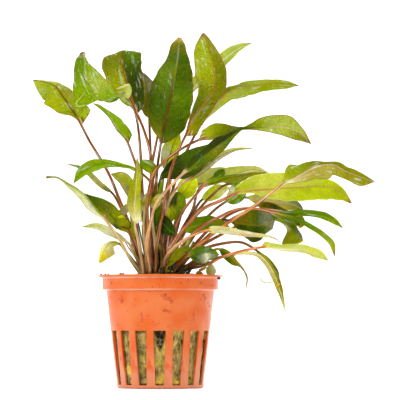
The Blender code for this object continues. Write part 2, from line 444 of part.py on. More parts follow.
        stem=[(-2.5, 65.5, -7.3), (-3.5, 76.5, -8.3)],
        blade=[(-3, 79.5, -8.4), (-2, 81.5, -8.4), (-0.5, 84, -8.3), (0.5, 86, -8.2)]),
    "leaf_hidden_middle": dict(
        tone="middle",
        foot=(-3.3, 2.1), wide=5, middle=0.5, left=(-10, -10), right=(-10, -10),
        stem=[(-3.5, 65.5, 4), (-4, 83.5, 5.5), (-4, 97.5, 5.5), (-2.5, 106, 5.5)],
        blade=[(-1, 113, 5.5), (0.5, 118, 6.5), (2, 123.5, 8), (3.5, 129, 10)]),
}


def clear_scene():
    for thing in list(bpy.data.objects):
        bpy.data.objects.remove(thing, do_unlink=True)


def collection(name):
    group = bpy.data.collections.new(name)
    bpy.context.scene.collection.children.link(group)
    return group


def plain_material(name, colour, roughness):
    material = bpy.data.materials.new(name)
    material.use_nodes = True
    shader = material.node_tree.nodes["Principled BSDF"]
    shader.inputs["Base Color"].default_value = (*colour, 1)
    shader.inputs["Roughness"].default_value = roughness
    shader.inputs["Metallic"].default_value = 0
    return material


def new_object(name, points, edges, faces, group):
    mesh = bpy.data.meshes.new(name)
    mesh.from_pydata([tuple(point) for point in points], edges, faces)
    thing = bpy.data.objects.new(name, mesh)
    group.objects.link(thing)
    return thing


def turned(name, profile, steps, group):
    """Turn a profile of (radius, height) about the vertical axis."""
    points = [(radius, 0, height) for radius, height in profile]
    edges = [(i, i + 1) for i in range(len(points) - 1)]
    thing = new_object(name, points, edges, [], group)
    screw = thing.modifiers.new("turn", "SCREW")
    screw.axis = "Z"
    screw.angle = 2 * math.pi
    screw.steps = steps
    screw.render_steps = steps
    screw.use_merge_vertices = True
    screw.merge_threshold = 0.00001
    return thing


def as_mesh(thing):
    """Swap an object's modifiers for the mesh that they make."""
    evaluated = thing.evaluated_get(bpy.context.evaluated_depsgraph_get())
    mesh = bpy.data.meshes.new_from_object(evaluated)
    thing.modifiers.clear()
    thing.data = mesh
    return thing


def cut(thing, cutter):
    boolean = thing.modifiers.new("cut", "BOOLEAN")
    boolean.operation = "DIFFERENCE"
    boolean.solver = "EXACT"
    boolean.object = cutter


def hide_cutter(cutter):
    cutter.hide_render = True
    cutter.display_type = "WIRE"


def wedge(bm, angle, inner, outer, low, high, low_wide, high_wide):
    """Add one radial block whose width changes from its foot to its top."""
    corners = bmesh.ops.create_cube(bm, size=1)["verts"]
    for corner in corners:
        at_top = corner.co.z > 0
        wide = high_wide if at_top else low_wide
        out = outer if corner.co.x > 0 else inner
        side = math.copysign(wide / 2, corner.co.y)
        height = high if at_top else low
        x = out * math.cos(angle) - side * math.sin(angle)
        y = out * math.sin(angle) + side * math.cos(angle)
        corner.co = (x, y, height)


def inner_radius(height):
    """Radius of the pot's inner wall below its band."""
    share = (height - FOOT_ROUND) / (BAND_FOOT - FOOT_ROUND)
    return WALL_FOOT_RADIUS + share * (WALL_TOP_RADIUS - WALL_FOOT_RADIUS) - WALL


def build_pot(parts, cutters):
    """The moulded pot: a tapered cup with a deeper band and a flat lip, slotted round its lower half."""
    profile = [
        (0, FLOOR),
        (inner_radius(FLOOR), FLOOR),
        (inner_radius(BAND_FOOT), BAND_FOOT),
        (BAND_RADIUS - WALL, BAND_FOOT + WALL),
        (BAND_RADIUS - WALL, POT_HEIGHT),
        (LIP_RADIUS, POT_HEIGHT),
        (LIP_RADIUS, POT_HEIGHT - LIP_THICK),
        (BAND_RADIUS, POT_HEIGHT - LIP_THICK),
        (BAND_RADIUS, BAND_FOOT),
        (WALL_TOP_RADIUS, BAND_FOOT),
        (WALL_FOOT_RADIUS, FOOT_ROUND),
        (FOOT_RADIUS, 0),
        (0, 0),
    ]
    pot = turned("pot", profile, POT_STEPS, parts)
    bm = bmesh.new()
    for i in range(SLOTS):
        angle = 2 * math.pi * i / SLOTS
        wedge(bm, angle, SLOT_INNER, SLOT_OUTER, SLOT_FOOT, SLOT_TOP, SLOT_FOOT_WIDE, SLOT_TOP_WIDE)
    for i in range(DRAINS):
        angle = 2 * math.pi * i / DRAINS
        wedge(bm, angle, DRAIN_INNER, DRAIN_OUTER, -FLOOR, 2 * FLOOR, DRAIN_WIDE, DRAIN_WIDE)
    mesh = bpy.data.meshes.new("slot_cutter")
    bm.to_mesh(mesh)
    bm.free()
    cutter = bpy.data.objects.new("slot_cutter", mesh)
    cutters.objects.link(cutter)
    hide_cutter(cutter)
    cut(pot, cutter)
    pot.data.materials.append(plain_material("orange polypropylene", (0.85, 0.17, 0.05), 0.35))


def crown_solid(name, grow, group):
    """A flattened ball: the clump of short rootstocks, or the hollow that it sits in."""
    bm = bmesh.new()
    bmesh.ops.create_uvsphere(bm, u_segments=20, v_segments=10, radius=1)
    for point in bm.verts:
        point.co = [CROWN_MIDDLE[i] + point.co[i] * (CROWN_HALF[i] + grow) for i in range(3)]
    mesh = bpy.data.meshes.new(name)
    bm.to_mesh(mesh)
    bm.free()
    thing = bpy.data.objects.new(name, mesh)
    group.objects.link(thing)
    return thing


def crown_height(x, y):
    """Height of the crown's surface, read a stalk's width nearer its middle so that the stalk clears it."""
    out = math.hypot((x - CROWN_MIDDLE[0]) / CROWN_HALF[0], (y - CROWN_MIDDLE[1]) / CROWN_HALF[1])
    nearer = max(out - 2 * STALK_FOOT / CROWN_HALF[1], 0)
    return CROWN_MIDDLE[2] + CROWN_HALF[2] * math.sqrt(max(1 - nearer ** 2, 0))


def build_plug(parts, cutters):
    """The rock-wool plug: a tapered drum that fills the pot, with a low mound of wool at the right."""
    def side(height):
        return inner_radius(height) - PLUG_SLACK
    low = FLOOR + GAP
    profile = [
        (0, PLUG_TOP),
        (side(PLUG_SHOULDER) * 0.28, PLUG_TOP),
        (side(PLUG_SHOULDER) * 0.5, PLUG_TOP),
        (side(PLUG_SHOULDER) * 0.68, PLUG_TOP - 0.1 * MM),
        (side(PLUG_SHOULDER) * 0.84, PLUG_TOP - 0.5 * MM),
        (side(BAND_FOOT) - 0.4 * MM, PLUG_SHOULDER),
        (side(BAND_FOOT), BAND_FOOT - 1.5 * MM),
        (side(SLOT_TOP), SLOT_TOP),
        (side(low), low),
        (0, low),
    ]
    plug = as_mesh(turned("plug", profile, PLUG_STEPS, parts))
    for point in plug.data.vertices:
        if point.co.z > PLUG_SHOULDER + GAP:
            away = math.hypot(point.co.x - MOUND[0], point.co.y - MOUND[1])
            point.co.z += MOUND_RISE * math.exp(-(away / MOUND_RADIUS) ** 2)
    hollow = crown_solid("crown_hollow", GAP, cutters)
    hide_cutter(hollow)
    cut(plug, hollow)
    plug.data.materials.append(plain_material("rock wool", (0.32, 0.25, 0.08), 0.95))


def build_crown(parts):
    crown = crown_solid("crown", 0, parts)
    crown.data.materials.append(plain_material("rootstock", (0.05, 0.04, 0.015), 0.6))


def in_space(point):
    """Carry a point read on the middle plane along its sight line to its own depth."""
    across, up, depth = np.array(point) * MM
    flat = np.array((across, 0, up))
    return EYE + (flat - EYE) * (1 - depth / EYE[1])


def through(points):
    """A smooth route through hand-set points: cubic pieces, measured along the chords between them."""
    steps = np.linalg.norm(np.diff(points, axis=0), axis=1)
    knots = np.concatenate(([0], np.cumsum(steps)))
    slopes = np.gradient(points, knots, axis=0)

    def at(along):
        piece = np.clip(np.searchsorted(knots, along, side="right") - 1, 0, len(knots) - 2)
        span = (knots[piece + 1] - knots[piece])[:, None]
        u = (along - knots[piece])[:, None] / span
        start = (1 + 2 * u) * (1 - u) ** 2 * points[piece] + u * (1 - u) ** 2 * span * slopes[piece]
        end = u ** 2 * (3 - 2 * u) * points[piece + 1] + u ** 2 * (u - 1) * span * slopes[piece + 1]
        return start + end
    return knots, at


def frames(at, along, across):
    """Where the route is, which way the blade spreads to its right, and which way its face looks.

    Without a fixed spread, the spread lies square to the route as the eye in front sees it, so a
    blade at zero degrees is seen flat on. The face is square to both.
    """
    step = 0.2 * MM
    ahead = at(along + step) - at(along - step)
    ahead /= np.linalg.norm(ahead, axis=1)[:, None]
    if across is None:
        spread = np.stack((ahead[:, 2], np.zeros(len(along)), -ahead[:, 0]), axis=1)
    else:
        spread = np.array(across) - (ahead @ np.array(across))[:, None] * ahead
    spread /= np.linalg.norm(spread, axis=1)[:, None]
    return at(along), spread, np.cross(spread, ahead)


def half_width(t, wide, middle):
    """Half the blade's width at t along it: a rounded base, widest at middle, and a tapered tip."""
    base = (t / middle) ** (TIP_POINT * middle / (1 - middle))
    tip = ((1 - t) / (1 - middle)) ** TIP_POINT
    return wide / 2 * MM * base * tip


def half_widths(leaf, t):
    """How far the blade reaches to its left and to its right at t."""
    t = np.clip(t, 0, 1)
    if "left_wide" in leaf:
        keys = np.linspace(0, 1, len(leaf["left_wide"]))
        left = np.interp(t, keys, leaf["left_wide"]) * MM
        right = np.interp(t, keys, leaf["right_wide"]) * MM
        return left, right
    both = half_width(t, leaf["wide"], leaf["middle"])
    return both, both


def leaf_points(leaf):
    """Rings of points from the stalk's foot to the blade's tip, one row for each ring."""
    foot_x, foot_y = np.array(leaf["foot"]) * MM
    foot = np.array((foot_x, foot_y, crown_height(foot_x, foot_y) + FOOT_LIFT))
    route = np.array([foot] + [in_space(point) for point in leaf["stem"] + leaf["blade"]])
    knots, at = through(route)
    neck = knots[1 + len(leaf["stem"])]
    broad = leaf["wide"] >= BROAD
    fewest = 8 if broad else 6
    if "left_wide" in leaf:
        fewest = 12 if len(leaf["left_wide"]) < 10 else 17
    blade_rings = max(len(leaf["blade"]) + 1, fewest)
    stem_rings = max(len(leaf["stem"]) + 1, 2)
    t = np.concatenate((np.full(stem_rings, -1.0), (np.arange(blade_rings) / (blade_rings - 1)) ** 1.15))
    stem_along = neck * np.arange(stem_rings) / stem_rings
    along = np.concatenate((stem_along, neck + (knots[-1] - neck) * t[stem_rings:]))
    middle, spread, face = frames(at, along, leaf.get("across"))

    on_blade = t >= 0
    share = np.clip(along / neck, 0, 1)
    stalk = STALK_FOOT + (STALK_NECK - STALK_FOOT) * share
    halves = [
        np.maximum(np.where(on_blade, np.maximum(half, stalk * (1 - t)), stalk), TIP_BLUNT)
        for half in half_widths(leaf, t)
    ]
    flat = np.clip(t / 0.12, 0, 1)
    thick = stalk + (BLADE_THICK - stalk) * flat
    rib = stalk + (RIB_DEEP * (1 - 0.6 * np.clip(t, 0, 1)) - stalk) * flat

    keys = np.linspace(0, 1, len(leaf["left"]))
    lean_left = np.radians(np.interp(t, keys, leaf["left"])) * flat
    lean_right = np.radians(np.interp(t, keys, leaf["right"])) * flat
    out_left = -spread * np.cos(lean_left)[:, None] + face * np.sin(lean_left)[:, None]
    out_right = spread * np.cos(lean_right)[:, None] + face * np.sin(lean_right)[:, None]
    up_left = face * np.cos(lean_left)[:, None] + spread * np.sin(lean_left)[:, None]
    up_right = face * np.cos(lean_right)[:, None] - spread * np.sin(lean_right)[:, None]
    up_middle = up_left + up_right
    size = np.linalg.norm(up_middle, axis=1)[:, None]
    up_middle = np.where(size > 0.2, up_middle / np.maximum(size, 0.2), face)

    w_left, w_right = halves[0][:, None], halves[1][:, None]
    h, r = thick[:, None], rib[:, None]
    quarter = 0.7 - 0.2 * flat[:, None]
    raised = 0.7 + 0.3 * flat[:, None]
    rows = [
        middle + out_left * w_left,
        middle + up_middle * h,
        middle + out_right * w_right,
        middle + out_right * w_right * quarter - up_right * h * raised,
        middle - up_middle * r,
        middle + out_left * w_left * quarter - up_left * h * raised,
    ]
    if broad:
        rows.insert(1, middle + out_left * w_left * quarter + up_left * h * raised)
        rows.insert(3, middle + out_right * w_right * quarter + up_right * h * raised)
    return np.stack(rows, axis=1)


def build_leaf(name, leaf, group, material):
    """Join the rings into one closed skin, with a flat end at the foot and at the tip."""
    rings = leaf_points(leaf)
    count, sides, _ = rings.shape
    faces = []
    for i in range(count - 1):
        for j in range(sides):
            k = (j + 1) % sides
            faces.append((i * sides + j, i * sides + k, (i + 1) * sides + k, (i + 1) * sides + j))
    faces.append(tuple(reversed(range(sides))))
    faces.append(tuple(range((count - 1) * sides, count * sides)))
    thing = new_object(name, rings.reshape(-1, 3), [], faces, group)
    bm = bmesh.new()
    bm.from_mesh(thing.data)
    bmesh.ops.recalc_face_normals(bm, faces=bm.faces)
    bmesh.ops.triangulate(bm, faces=bm.faces)
    bm.to_mesh(thing.data)
    bm.free()
    thing.data.shade_smooth()
    thing.data.materials.append(material)


def build():
    clear_scene()
    parts = collection("potted_cryptocoryne")
    cutters = collection("cutters")
    build_pot(parts, cutters)
    build_plug(parts, cutters)
    build_crown(parts)
    tissue = {tone: plain_material("leaf " + tone, colour, 0.35) for tone, colour in TONES.items()}
    for name, leaf in LEAVES.items():
        build_leaf(name, leaf, parts, tissue[leaf["tone"]])


build()
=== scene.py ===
# %% [markdown]
# # A potted cryptocoryne
# An aquarium plant with long wavy leaves on copper-brown stalks, rooted in a rock-wool plug inside a
# slotted orange net pot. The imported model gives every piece's place and size. This lesson dresses it:
# each leaf is worked out again on a fine grid from the route it has in the model, and the pot, the
# wool and the crown of rootstocks get the detail that the plain solids leave out.

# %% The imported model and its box
import math

import bpy
import numpy as np
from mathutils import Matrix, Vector


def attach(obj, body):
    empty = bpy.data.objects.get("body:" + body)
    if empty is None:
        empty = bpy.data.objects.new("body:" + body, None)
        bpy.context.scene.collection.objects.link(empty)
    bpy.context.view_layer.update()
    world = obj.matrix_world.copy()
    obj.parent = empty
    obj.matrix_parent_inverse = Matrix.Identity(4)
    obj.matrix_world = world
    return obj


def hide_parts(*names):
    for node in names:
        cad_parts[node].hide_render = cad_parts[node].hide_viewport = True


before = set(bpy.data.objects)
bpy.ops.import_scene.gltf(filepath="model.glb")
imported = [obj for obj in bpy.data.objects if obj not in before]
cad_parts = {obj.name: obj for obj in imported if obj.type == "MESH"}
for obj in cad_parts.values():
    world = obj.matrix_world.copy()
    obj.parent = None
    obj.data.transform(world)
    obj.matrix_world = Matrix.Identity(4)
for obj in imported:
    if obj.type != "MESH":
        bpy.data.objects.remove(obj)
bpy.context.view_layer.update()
MM = 0.001

# %% [markdown]
# ## Three small helpers
# Colours are picked as sRGB hex values, because that is how a colour picker shows them, but shaders
# count in linear light. One function turns them. A second adds any shader node with its settings and
# its links, so that a material reads as a short list of what feeds what. A third starts a material.


# %% Colours and nodes
def linear(code, alpha=1.0):
    """An sRGB hex colour in linear light: c / 12.92 below 0.04045, else ((c + 0.055) / 1.055) ** 2.4."""
    parts = [int(code[i : i + 2], 16) / 255 for i in (1, 3, 5)]
    return tuple(c / 12.92 if c <= 0.04045 else ((c + 0.055) / 1.055) ** 2.4 for c in parts) + (alpha,)


def add(tree, kind, inputs=None, **settings):
    """Add a shader node. inputs maps a socket's name or number to a value or to another node's output."""
    node = tree.nodes.new("ShaderNode" + kind)
    for name, value in settings.items():
        setattr(node, name, value)
    for socket, value in (inputs or {}).items():
        if isinstance(value, bpy.types.NodeSocket):
            tree.links.new(value, node.inputs[socket])
        else:
            node.inputs[socket].default_value = value
    return node


def new_material(name, **values):
    """A material with one Principled shader. values sets its sockets, with _ for a space in their names."""
    made = bpy.data.materials.new(name)
    made.use_nodes = True
    shader = made.node_tree.nodes["Principled BSDF"]
    for socket, value in values.items():
        shader.inputs[socket.replace("_", " ")].default_value = value
    return made, made.node_tree, shader


print("orange in linear light:", [round(v, 3) for v in linear("#EF7443")])

# %% [markdown]
# ## Camera, floor and light
# A product photograph of such a plant is taken from low down and far away, with a long lens, on a
# white sweep under soft boxes. The sweep is one sheet whose height follows a quarter circle behind the
# plant, so no line shows where the floor ends. The boxes are large area lights, because wet leaves
# mirror them as broad white patches.

# %% Camera
EYE = np.array((17.6, -1100.0, 30.0)) * MM
TARGET = np.array((17.6, 0.0, 83.4)) * MM
PICTURE_WIDE = 177.8 * MM
SENSOR = 36.0

camera_data = bpy.data.cameras.new("camera")
camera_data.sensor_width = SENSOR
camera_data.lens = SENSOR * -EYE[1] / PICTURE_WIDE
camera_data.clip_start = 0.05
camera = bpy.data.objects.new("camera", camera_data)
bpy.context.scene.collection.objects.link(camera)
camera.location = EYE
rise = math.atan2(TARGET[2] - EYE[2], TARGET[1] - EYE[1])
camera.rotation_euler = (math.pi / 2 + rise, 0, 0)
bpy.context.scene.camera = camera
print("lens in mm:", round(camera_data.lens, 1), "rise in degrees:", round(math.degrees(rise), 2))


# %% Surfaces from grids
def grid_faces(rows, columns, round_columns=False):
    """Quads over a grid of points, row by row, that close on themselves where columns go round."""
    i = np.arange(rows - 1)[:, None]
    j = np.arange(columns if round_columns else columns - 1)[None, :]
    below, beside = i + 1, (j + 1) % columns
    corners = (i * columns + j, i * columns + beside, below * columns + beside, below * columns + j)
    return np.stack([np.broadcast_to(c, (i.size, j.size)) for c in corners], axis=-1).reshape(-1, 4)


def new_piece(name, points, faces, material, colours=None, vectors=None):
    """A mesh object from arrays. colours and vectors are named values that each point carries."""
    mesh = bpy.data.meshes.new(name)
    mesh.from_pydata(points.reshape(-1, 3).tolist(), [], [tuple(face) for face in faces])
    mesh.update()
    for label, values in (colours or {}).items():
        mesh.attributes.new(label, "FLOAT_COLOR", "POINT").data.foreach_set("color", values.ravel())
    for label, values in (vectors or {}).items():
        mesh.attributes.new(label, "FLOAT_VECTOR", "POINT").data.foreach_set("vector", values.ravel())
    mesh.shade_smooth()
    piece = bpy.data.objects.new(name, mesh)
    bpy.context.scene.collection.objects.link(piece)
    mesh.materials.append(material)
    return piece


def tube_faces(rows, sides, count=1):
    """Faces of count closed tubes in a row: quads round the rings, then a flat end at both ends of each."""
    size = rows * sides
    quads = grid_faces(rows, sides, round_columns=True)
    faces = [tuple(face) for k in range(count) for face in quads + k * size]
    for k in range(count):
        faces.append(tuple(reversed(range(k * size, k * size + sides))))
        faces.append(tuple(range((k + 1) * size - sides, (k + 1) * size)))
    return faces


def round_axis(radius, turn, height):
    """Points that stand at a radius and a turn, in radians, round the pot's axis, at a height."""
    return np.stack(np.broadcast_arrays(radius * np.cos(turn), radius * np.sin(turn), height), axis=-1)


def even_tint(colour, shape):
    """A colour for every point of a mesh of this shape, from one colour or from one for each row."""
    colour = np.asarray(colour)
    gaps = (1,) * (len(shape) - colour.ndim + 1)
    return np.broadcast_to(colour.reshape(*colour.shape[:-1], *gaps, 4), (*shape, 4)).copy()


# %% The sweep
SWEEP_HALF = 2.5
SWEEP_NEAR = -3.0
SWEEP_STRAIGHT = 1.2
SWEEP_ROUND = 1.0
SWEEP_TALL = 1.6


def sweep_points():
    """The floor runs straight to SWEEP_STRAIGHT, turns up a quarter circle, and rises to SWEEP_TALL."""
    turn = np.linspace(0, math.pi / 2, 25)
    curve = SWEEP_STRAIGHT + SWEEP_ROUND * np.sin(turn)
    back = np.concatenate(([SWEEP_NEAR], curve, [SWEEP_STRAIGHT + SWEEP_ROUND]))
    up = np.concatenate(([0.0], SWEEP_ROUND * (1 - np.cos(turn)), [SWEEP_ROUND + SWEEP_TALL]))
    side = np.array((-SWEEP_HALF, SWEEP_HALF))
    return np.stack(np.broadcast_arrays(side[None, :], back[:, None], up[:, None]), axis=-1)


paper = new_material(
    "white seamless paper", Base_Color=linear("#FDFDFD"), Roughness=0.9, Specular_IOR_Level=0.2
)[0]
sweep_grid = sweep_points()
sweep = new_piece("sweep", sweep_grid, grid_faces(*sweep_grid.shape[:2]), paper)
print("sweep points:", sweep_grid.shape[0] * 2)

# %% Soft boxes and sky
SKY = 0.52
world = bpy.data.worlds.new("soft white room")
world.use_nodes = True
world.node_tree.nodes["Background"].inputs["Color"].default_value = (1, 1, 1, 1)
world.node_tree.nodes["Background"].inputs["Strength"].default_value = SKY
bpy.context.scene.world = world
bpy.context.scene.view_settings.view_transform = "Standard"


def soft_box(name, place, aim, wide, tall, power):
    """An area light at place that faces aim. Its -Z axis looks along the line between the two."""
    light = bpy.data.lights.new(name, "AREA")
    light.shape = "RECTANGLE"
    light.size, light.size_y, light.energy = wide, tall, power
    box = bpy.data.objects.new(name, light)
    bpy.context.scene.collection.objects.link(box)
    line = Vector(aim) - Vector(place)
    box.location = place
    box.rotation_euler = line.to_track_quat("-Z", "Y").to_euler()


PLANT_MIDDLE = (0.02, 0.0, 0.08)
PAPER_MIDDLE = (0.0, 2.2, 0.7)
# Each box: its place and what it faces in metres, its width and height, and its power in watts.
BOXES = {
    "box_left": ((-0.8, -0.55, 0.7), PLANT_MIDDLE, 0.6, 0.6, 7.5),
    "box_front": ((-0.25, -1.05, 0.75), PLANT_MIDDLE, 0.22, 0.3, 4),
    "box_top": ((0.15, 0.25, 1.0), PLANT_MIDDLE, 0.6, 0.4, 5),
    "box_right": ((0.9, -0.5, 0.4), PLANT_MIDDLE, 0.3, 0.5, 2.8),
    "box_paper_left": ((-1.6, 0.9, 1.6), PAPER_MIDDLE, 1.0, 1.0, 30),
    "box_paper_right": ((1.6, 0.9, 1.6), PAPER_MIDDLE, 1.0, 1.0, 30),
}
for name, settings in BOXES.items():
    soft_box(name, *settings)
print("soft boxes:", len(BOXES))

# %% [markdown]
# ## Leaf tissue
# Cryptocoryne leaves run from lime new growth to bottle green in the shade, with bronze ribs and rims.
# The tones are named once here, and each leaf says which tones its left and right halves pass through
# from base to tip. The material then adds what all leaves share: arching side veins, a fine network of
# cells between them, the gloss of a wet skin, and a painted sheen, a painted highlight in its wet patches.

# %% Named tones
PAINT = {
    "lime": "#AAB80A",
    "lime_bright": "#C4D400",
    # glow is painted light: a lime brighter than the leaf's own green, for thin leaves that the light shines
    # through.
    "glow": "#DEEC10",
    "lime_soft": "#B8BE44",
    "lime_shade": "#94A400",
    "spring": "#959F00",
    "moss": "#747B00",
    "yellow_green": "#889800",
    "fresh": "#7D9C00",
    "grass": "#628300",
    "leaf": "#4A6600",
    "deep": "#344600",
    "shade": "#262E02",
    "night": "#1B2302",
    "bottle": "#2F5006",
    "olive": "#868702",
    "dry_olive": "#A29A3A",
    "brown_olive": "#766B04",
    "pale": "#B2B65C",
    "cream": "#CECA8C",
    "mint": "#A2AF40",
    "milk": "#D2D2AC",
    "grey_green": "#7E876C",
    "gold": "#D4C220",
    "straw": "#BEB06C",
    "orange": "#BC7434",
    "copper": "#A0643A",
    "rust": "#885022",
    "bronze": "#78500E",
    "bark": "#543A06",
    "tan": "#BE9A72",
    "rose": "#C8A088",
    "brown": "#76501F",
    "dark_brown": "#3A260A",
    "ash": "#86785A",
}
TONE = {name: np.array(linear(code)) for name, code in PAINT.items()}
print("tones:", len(TONE))

# %% Short words for shader sums
def noise(tree, place, size, detail=2.0):
    """Cloud noise whose lumps are about size long."""
    return add(tree, "TexNoise", {"Vector": place, "Scale": 1 / size, "Detail": detail}).outputs[0]


def step(tree, value, start, end, low=0.0, high=1.0):
    """Carry value from start..end to low..high and hold it there outside."""
    return add(tree, "MapRange", {"Value": value, 1: start, 2: end, 3: low, 4: high}).outputs[0]


def blend(tree, share, first, second, kind="MIX"):
    """Mix two colours by share."""
    mixer = add(tree, "Mix", {0: share, 6: first, 7: second}, data_type="RGBA", blend_type=kind)
    return mixer.outputs[2]


def sum_of(tree, kind, *values):
    """One sum on one, two or three numbers."""
    return add(tree, "Math", dict(enumerate(values)), operation=kind).outputs[0]


def parts_of(tree, vector):
    """The three numbers of a vector."""
    return add(tree, "SeparateXYZ", {0: vector}).outputs


def product(tree, first, *others):
    """Numbers multiplied from left to right."""
    for other in others:
        first = sum_of(tree, "MULTIPLY", first, other)
    return first


def object_place(tree):
    """Where a point is on its own object, in metres."""
    return add(tree, "TexCoord").outputs["Object"]


def carried(tree, label, kind="Color"):
    """A colour or a vector that the mesh's points carry under this name."""
    return add(tree, "Attribute", attribute_name=label).outputs[kind]


def stretched(tree, place, scale, turn=(0, 0, 0)):
    """A place turned and scaled, so that noise on it is drawn out where the scale is small."""
    return add(tree, "Mapping", {"Vector": place, "Rotation": turn, "Scale": scale}).outputs[0]


def two_tones(tree, value, start, end, first, second):
    """One hex colour up to start, another from end on, and a mix between."""
    return blend(tree, step(tree, value, start, end), linear(first), linear(second))


def feed(tree, shader, **outputs):
    """Link outputs to the shader's sockets, with _ for a space in their names."""
    for socket, output in outputs.items():
        tree.links.new(output, shader.inputs[socket.replace("_", " ")])


# %% Wet leaf tissue
VEIN_APART = 3.6
VEIN_RAKE = 0.9
GRAIN_WIDE = 1.0
GRAIN_LONG = 2.2
CELL = 1.2 * MM
BLOTCH = 3.6 * MM
CLOUD = 5.2 * MM
SPECK = 0.5 * MM
FILM_WIDE = 1.3
FILM_LONG = 9.0
FILM_PATCH = 6.5 * MM


def leaf_tissue(name, roughness, film, painted_sheen, age):
    """Living leaf. Side veins, a slanting grain and a net of fine dark cells lie over the painted tint.

    lay holds the distances across and along in mm and the strength of the veins; rim holds the
    distance from the edge, the midrib's half width and its strength. A film of water lies in
    patches drawn out along the leaf, as a coat that breaks up where the surface is rough, and in
    those patches a painted sheen pales the base colour: a painted highlight. Older cells turn the
    green towards olive in clouds.
    """
    made, tree, shader = new_material(name, Coat_Roughness=0.1, Coat_IOR=1.5, Specular_IOR_Level=0.04)
    tint, rib_tint, edge_tint = (carried(tree, label) for label in ("tint", "rib_tint", "edge_tint"))
    side, along, strength = parts_of(tree, carried(tree, "lay", "Vector"))
    inset, rib_wide, rib_share = parts_of(tree, carried(tree, "rim", "Vector"))
    at = object_place(tree)
    speck = noise(tree, at, SPECK, 3.0)
    blotch = noise(tree, at, BLOTCH, 4.0)
    across = sum_of(tree, "ABSOLUTE", side)

    # Side veins, the slanting grain between them, and the net of cells.
    phase = sum_of(tree, "SUBTRACT", along, product(tree, across, VEIN_RAKE))
    bend = sum_of(tree, "MULTIPLY_ADD", noise(tree, at, 4 * MM), 4.0, phase)
    saw = sum_of(tree, "FRACT", sum_of(tree, "DIVIDE", bend, VEIN_APART))
    off = sum_of(tree, "ABSOLUTE", sum_of(tree, "SUBTRACT", saw, 0.5))
    vein = step(tree, off, 0.0, 0.08, 0.8, 0.0)
    slant = add(tree, "CombineXYZ", {0: product(tree, side, GRAIN_WIDE / GRAIN_LONG), 1: bend})
    grain = noise(tree, slant.outputs[0], GRAIN_WIDE, 3.0)
    voronoi = add(tree, "TexVoronoi", {"Vector": at, "Scale": 1 / CELL}, feature="DISTANCE_TO_EDGE")
    patchy = step(tree, blotch, 0.36, 0.6, 0.15, 1.0)
    net = product(tree, step(tree, voronoi.outputs[0], 0.02, 0.2, 0.8, 0.0), patchy)
    dots = product(tree, step(tree, speck, 0.46, 0.66, 0.0, 0.9), patchy)
    lines = sum_of(tree, "MAXIMUM", vein, step(tree, grain, 0.46, 0.7, 0.0, 0.6))
    share = product(tree, sum_of(tree, "MAXIMUM", lines, sum_of(tree, "MAXIMUM", net, dots)), strength)

    # Older cells in clouds, then the dark marks over the tint.
    older = add(tree, "VectorMath", {0: tint, 1: (age, 1.0, 0.6)}, operation="MULTIPLY").outputs[0]
    aged = blend(tree, step(tree, noise(tree, at, CLOUD, 3.0), 0.46, 0.6, 0.0, 0.75), tint, older)
    dim = step(tree, blotch, 0.35, 0.65, 0.8, 1.14)
    clouded = add(tree, "VectorMath", {0: aged, "Scale": dim}, operation="SCALE").outputs[0]
    mottled = blend(tree, share, clouded, blend(tree, 1.0, tint, linear("#808238"), "MULTIPLY"))

    # Dark threads along the stalk, and pale lines that are painted highlights.
    stalk = step(tree, strength, 0.0, 0.12, 1.0, 0.0)
    fine = add(tree, "CombineXYZ", {0: side, 1: product(tree, along, 0.05)})
    thread = noise(tree, fine.outputs[0], 0.5, 2.0)
    dark_line = product(tree, step(tree, thread, 0.5, 0.62), stalk)
    painted_highlight_line = product(tree, step(tree, thread, 0.46, 0.36, 0.0, 0.45), stalk)
    mottled = blend(tree, dark_line, mottled, blend(tree, 1.0, tint, linear("#98887C"), "MULTIPLY"))
    mottled = blend(tree, painted_highlight_line, mottled, linear("#DCB496"))

    # The midrib with the first part of its side veins, and the edge.
    ragged = sum_of(tree, "MULTIPLY_ADD", speck, 0.5, sum_of(tree, "SUBTRACT", across, 0.25))
    near = sum_of(tree, "DIVIDE", ragged, rib_wide)
    rib = product(tree, step(tree, near, 0.55, 1.0, 1.0, 0.0), rib_share)
    branch = product(tree, vein, step(tree, near, 1.0, 6.0, 0.55, 0.0), rib_share)
    ribbed = blend(tree, sum_of(tree, "MAXIMUM", rib, branch), mottled, rib_tint)
    edged = blend(tree, step(tree, inset, 0.2, 0.5, 0.85, 0.0), ribbed, edge_tint)

    # The film of water, and the painted sheen: a painted highlight that pales the base colour in its
    # patches.
    drawn = add(tree, "CombineXYZ", {0: side, 1: product(tree, along, FILM_WIDE / FILM_LONG)}).outputs[0]
    clustered = step(tree, noise(tree, at, FILM_PATCH), 0.47, 0.55)
    wet = product(tree, step(tree, noise(tree, drawn, FILM_WIDE, 3.0), 0.52, 0.6), clustered)
    broken = product(tree, wet, step(tree, speck, 0.42, 0.56, 1.0, 0.55), film)
    with_painted_sheen = blend(tree, product(tree, broken, painted_sheen), edged, linear("#DDE2C6"))
    dull = step(tree, blotch, 0.3, 0.7, roughness - 0.08, roughness + 0.12)
    raised = product(tree, sum_of(tree, "ADD", grain, product(tree, vein, 0.5)), strength)
    bump = add(tree, "Bump", {"Height": raised, "Strength": 0.5, "Distance": 0.25 * MM}).outputs[0]
    feed(tree, shader, Base_Color=with_painted_sheen, Roughness=dull, Coat_Weight=broken, Normal=bump, Coat_Normal=bump)
    return made


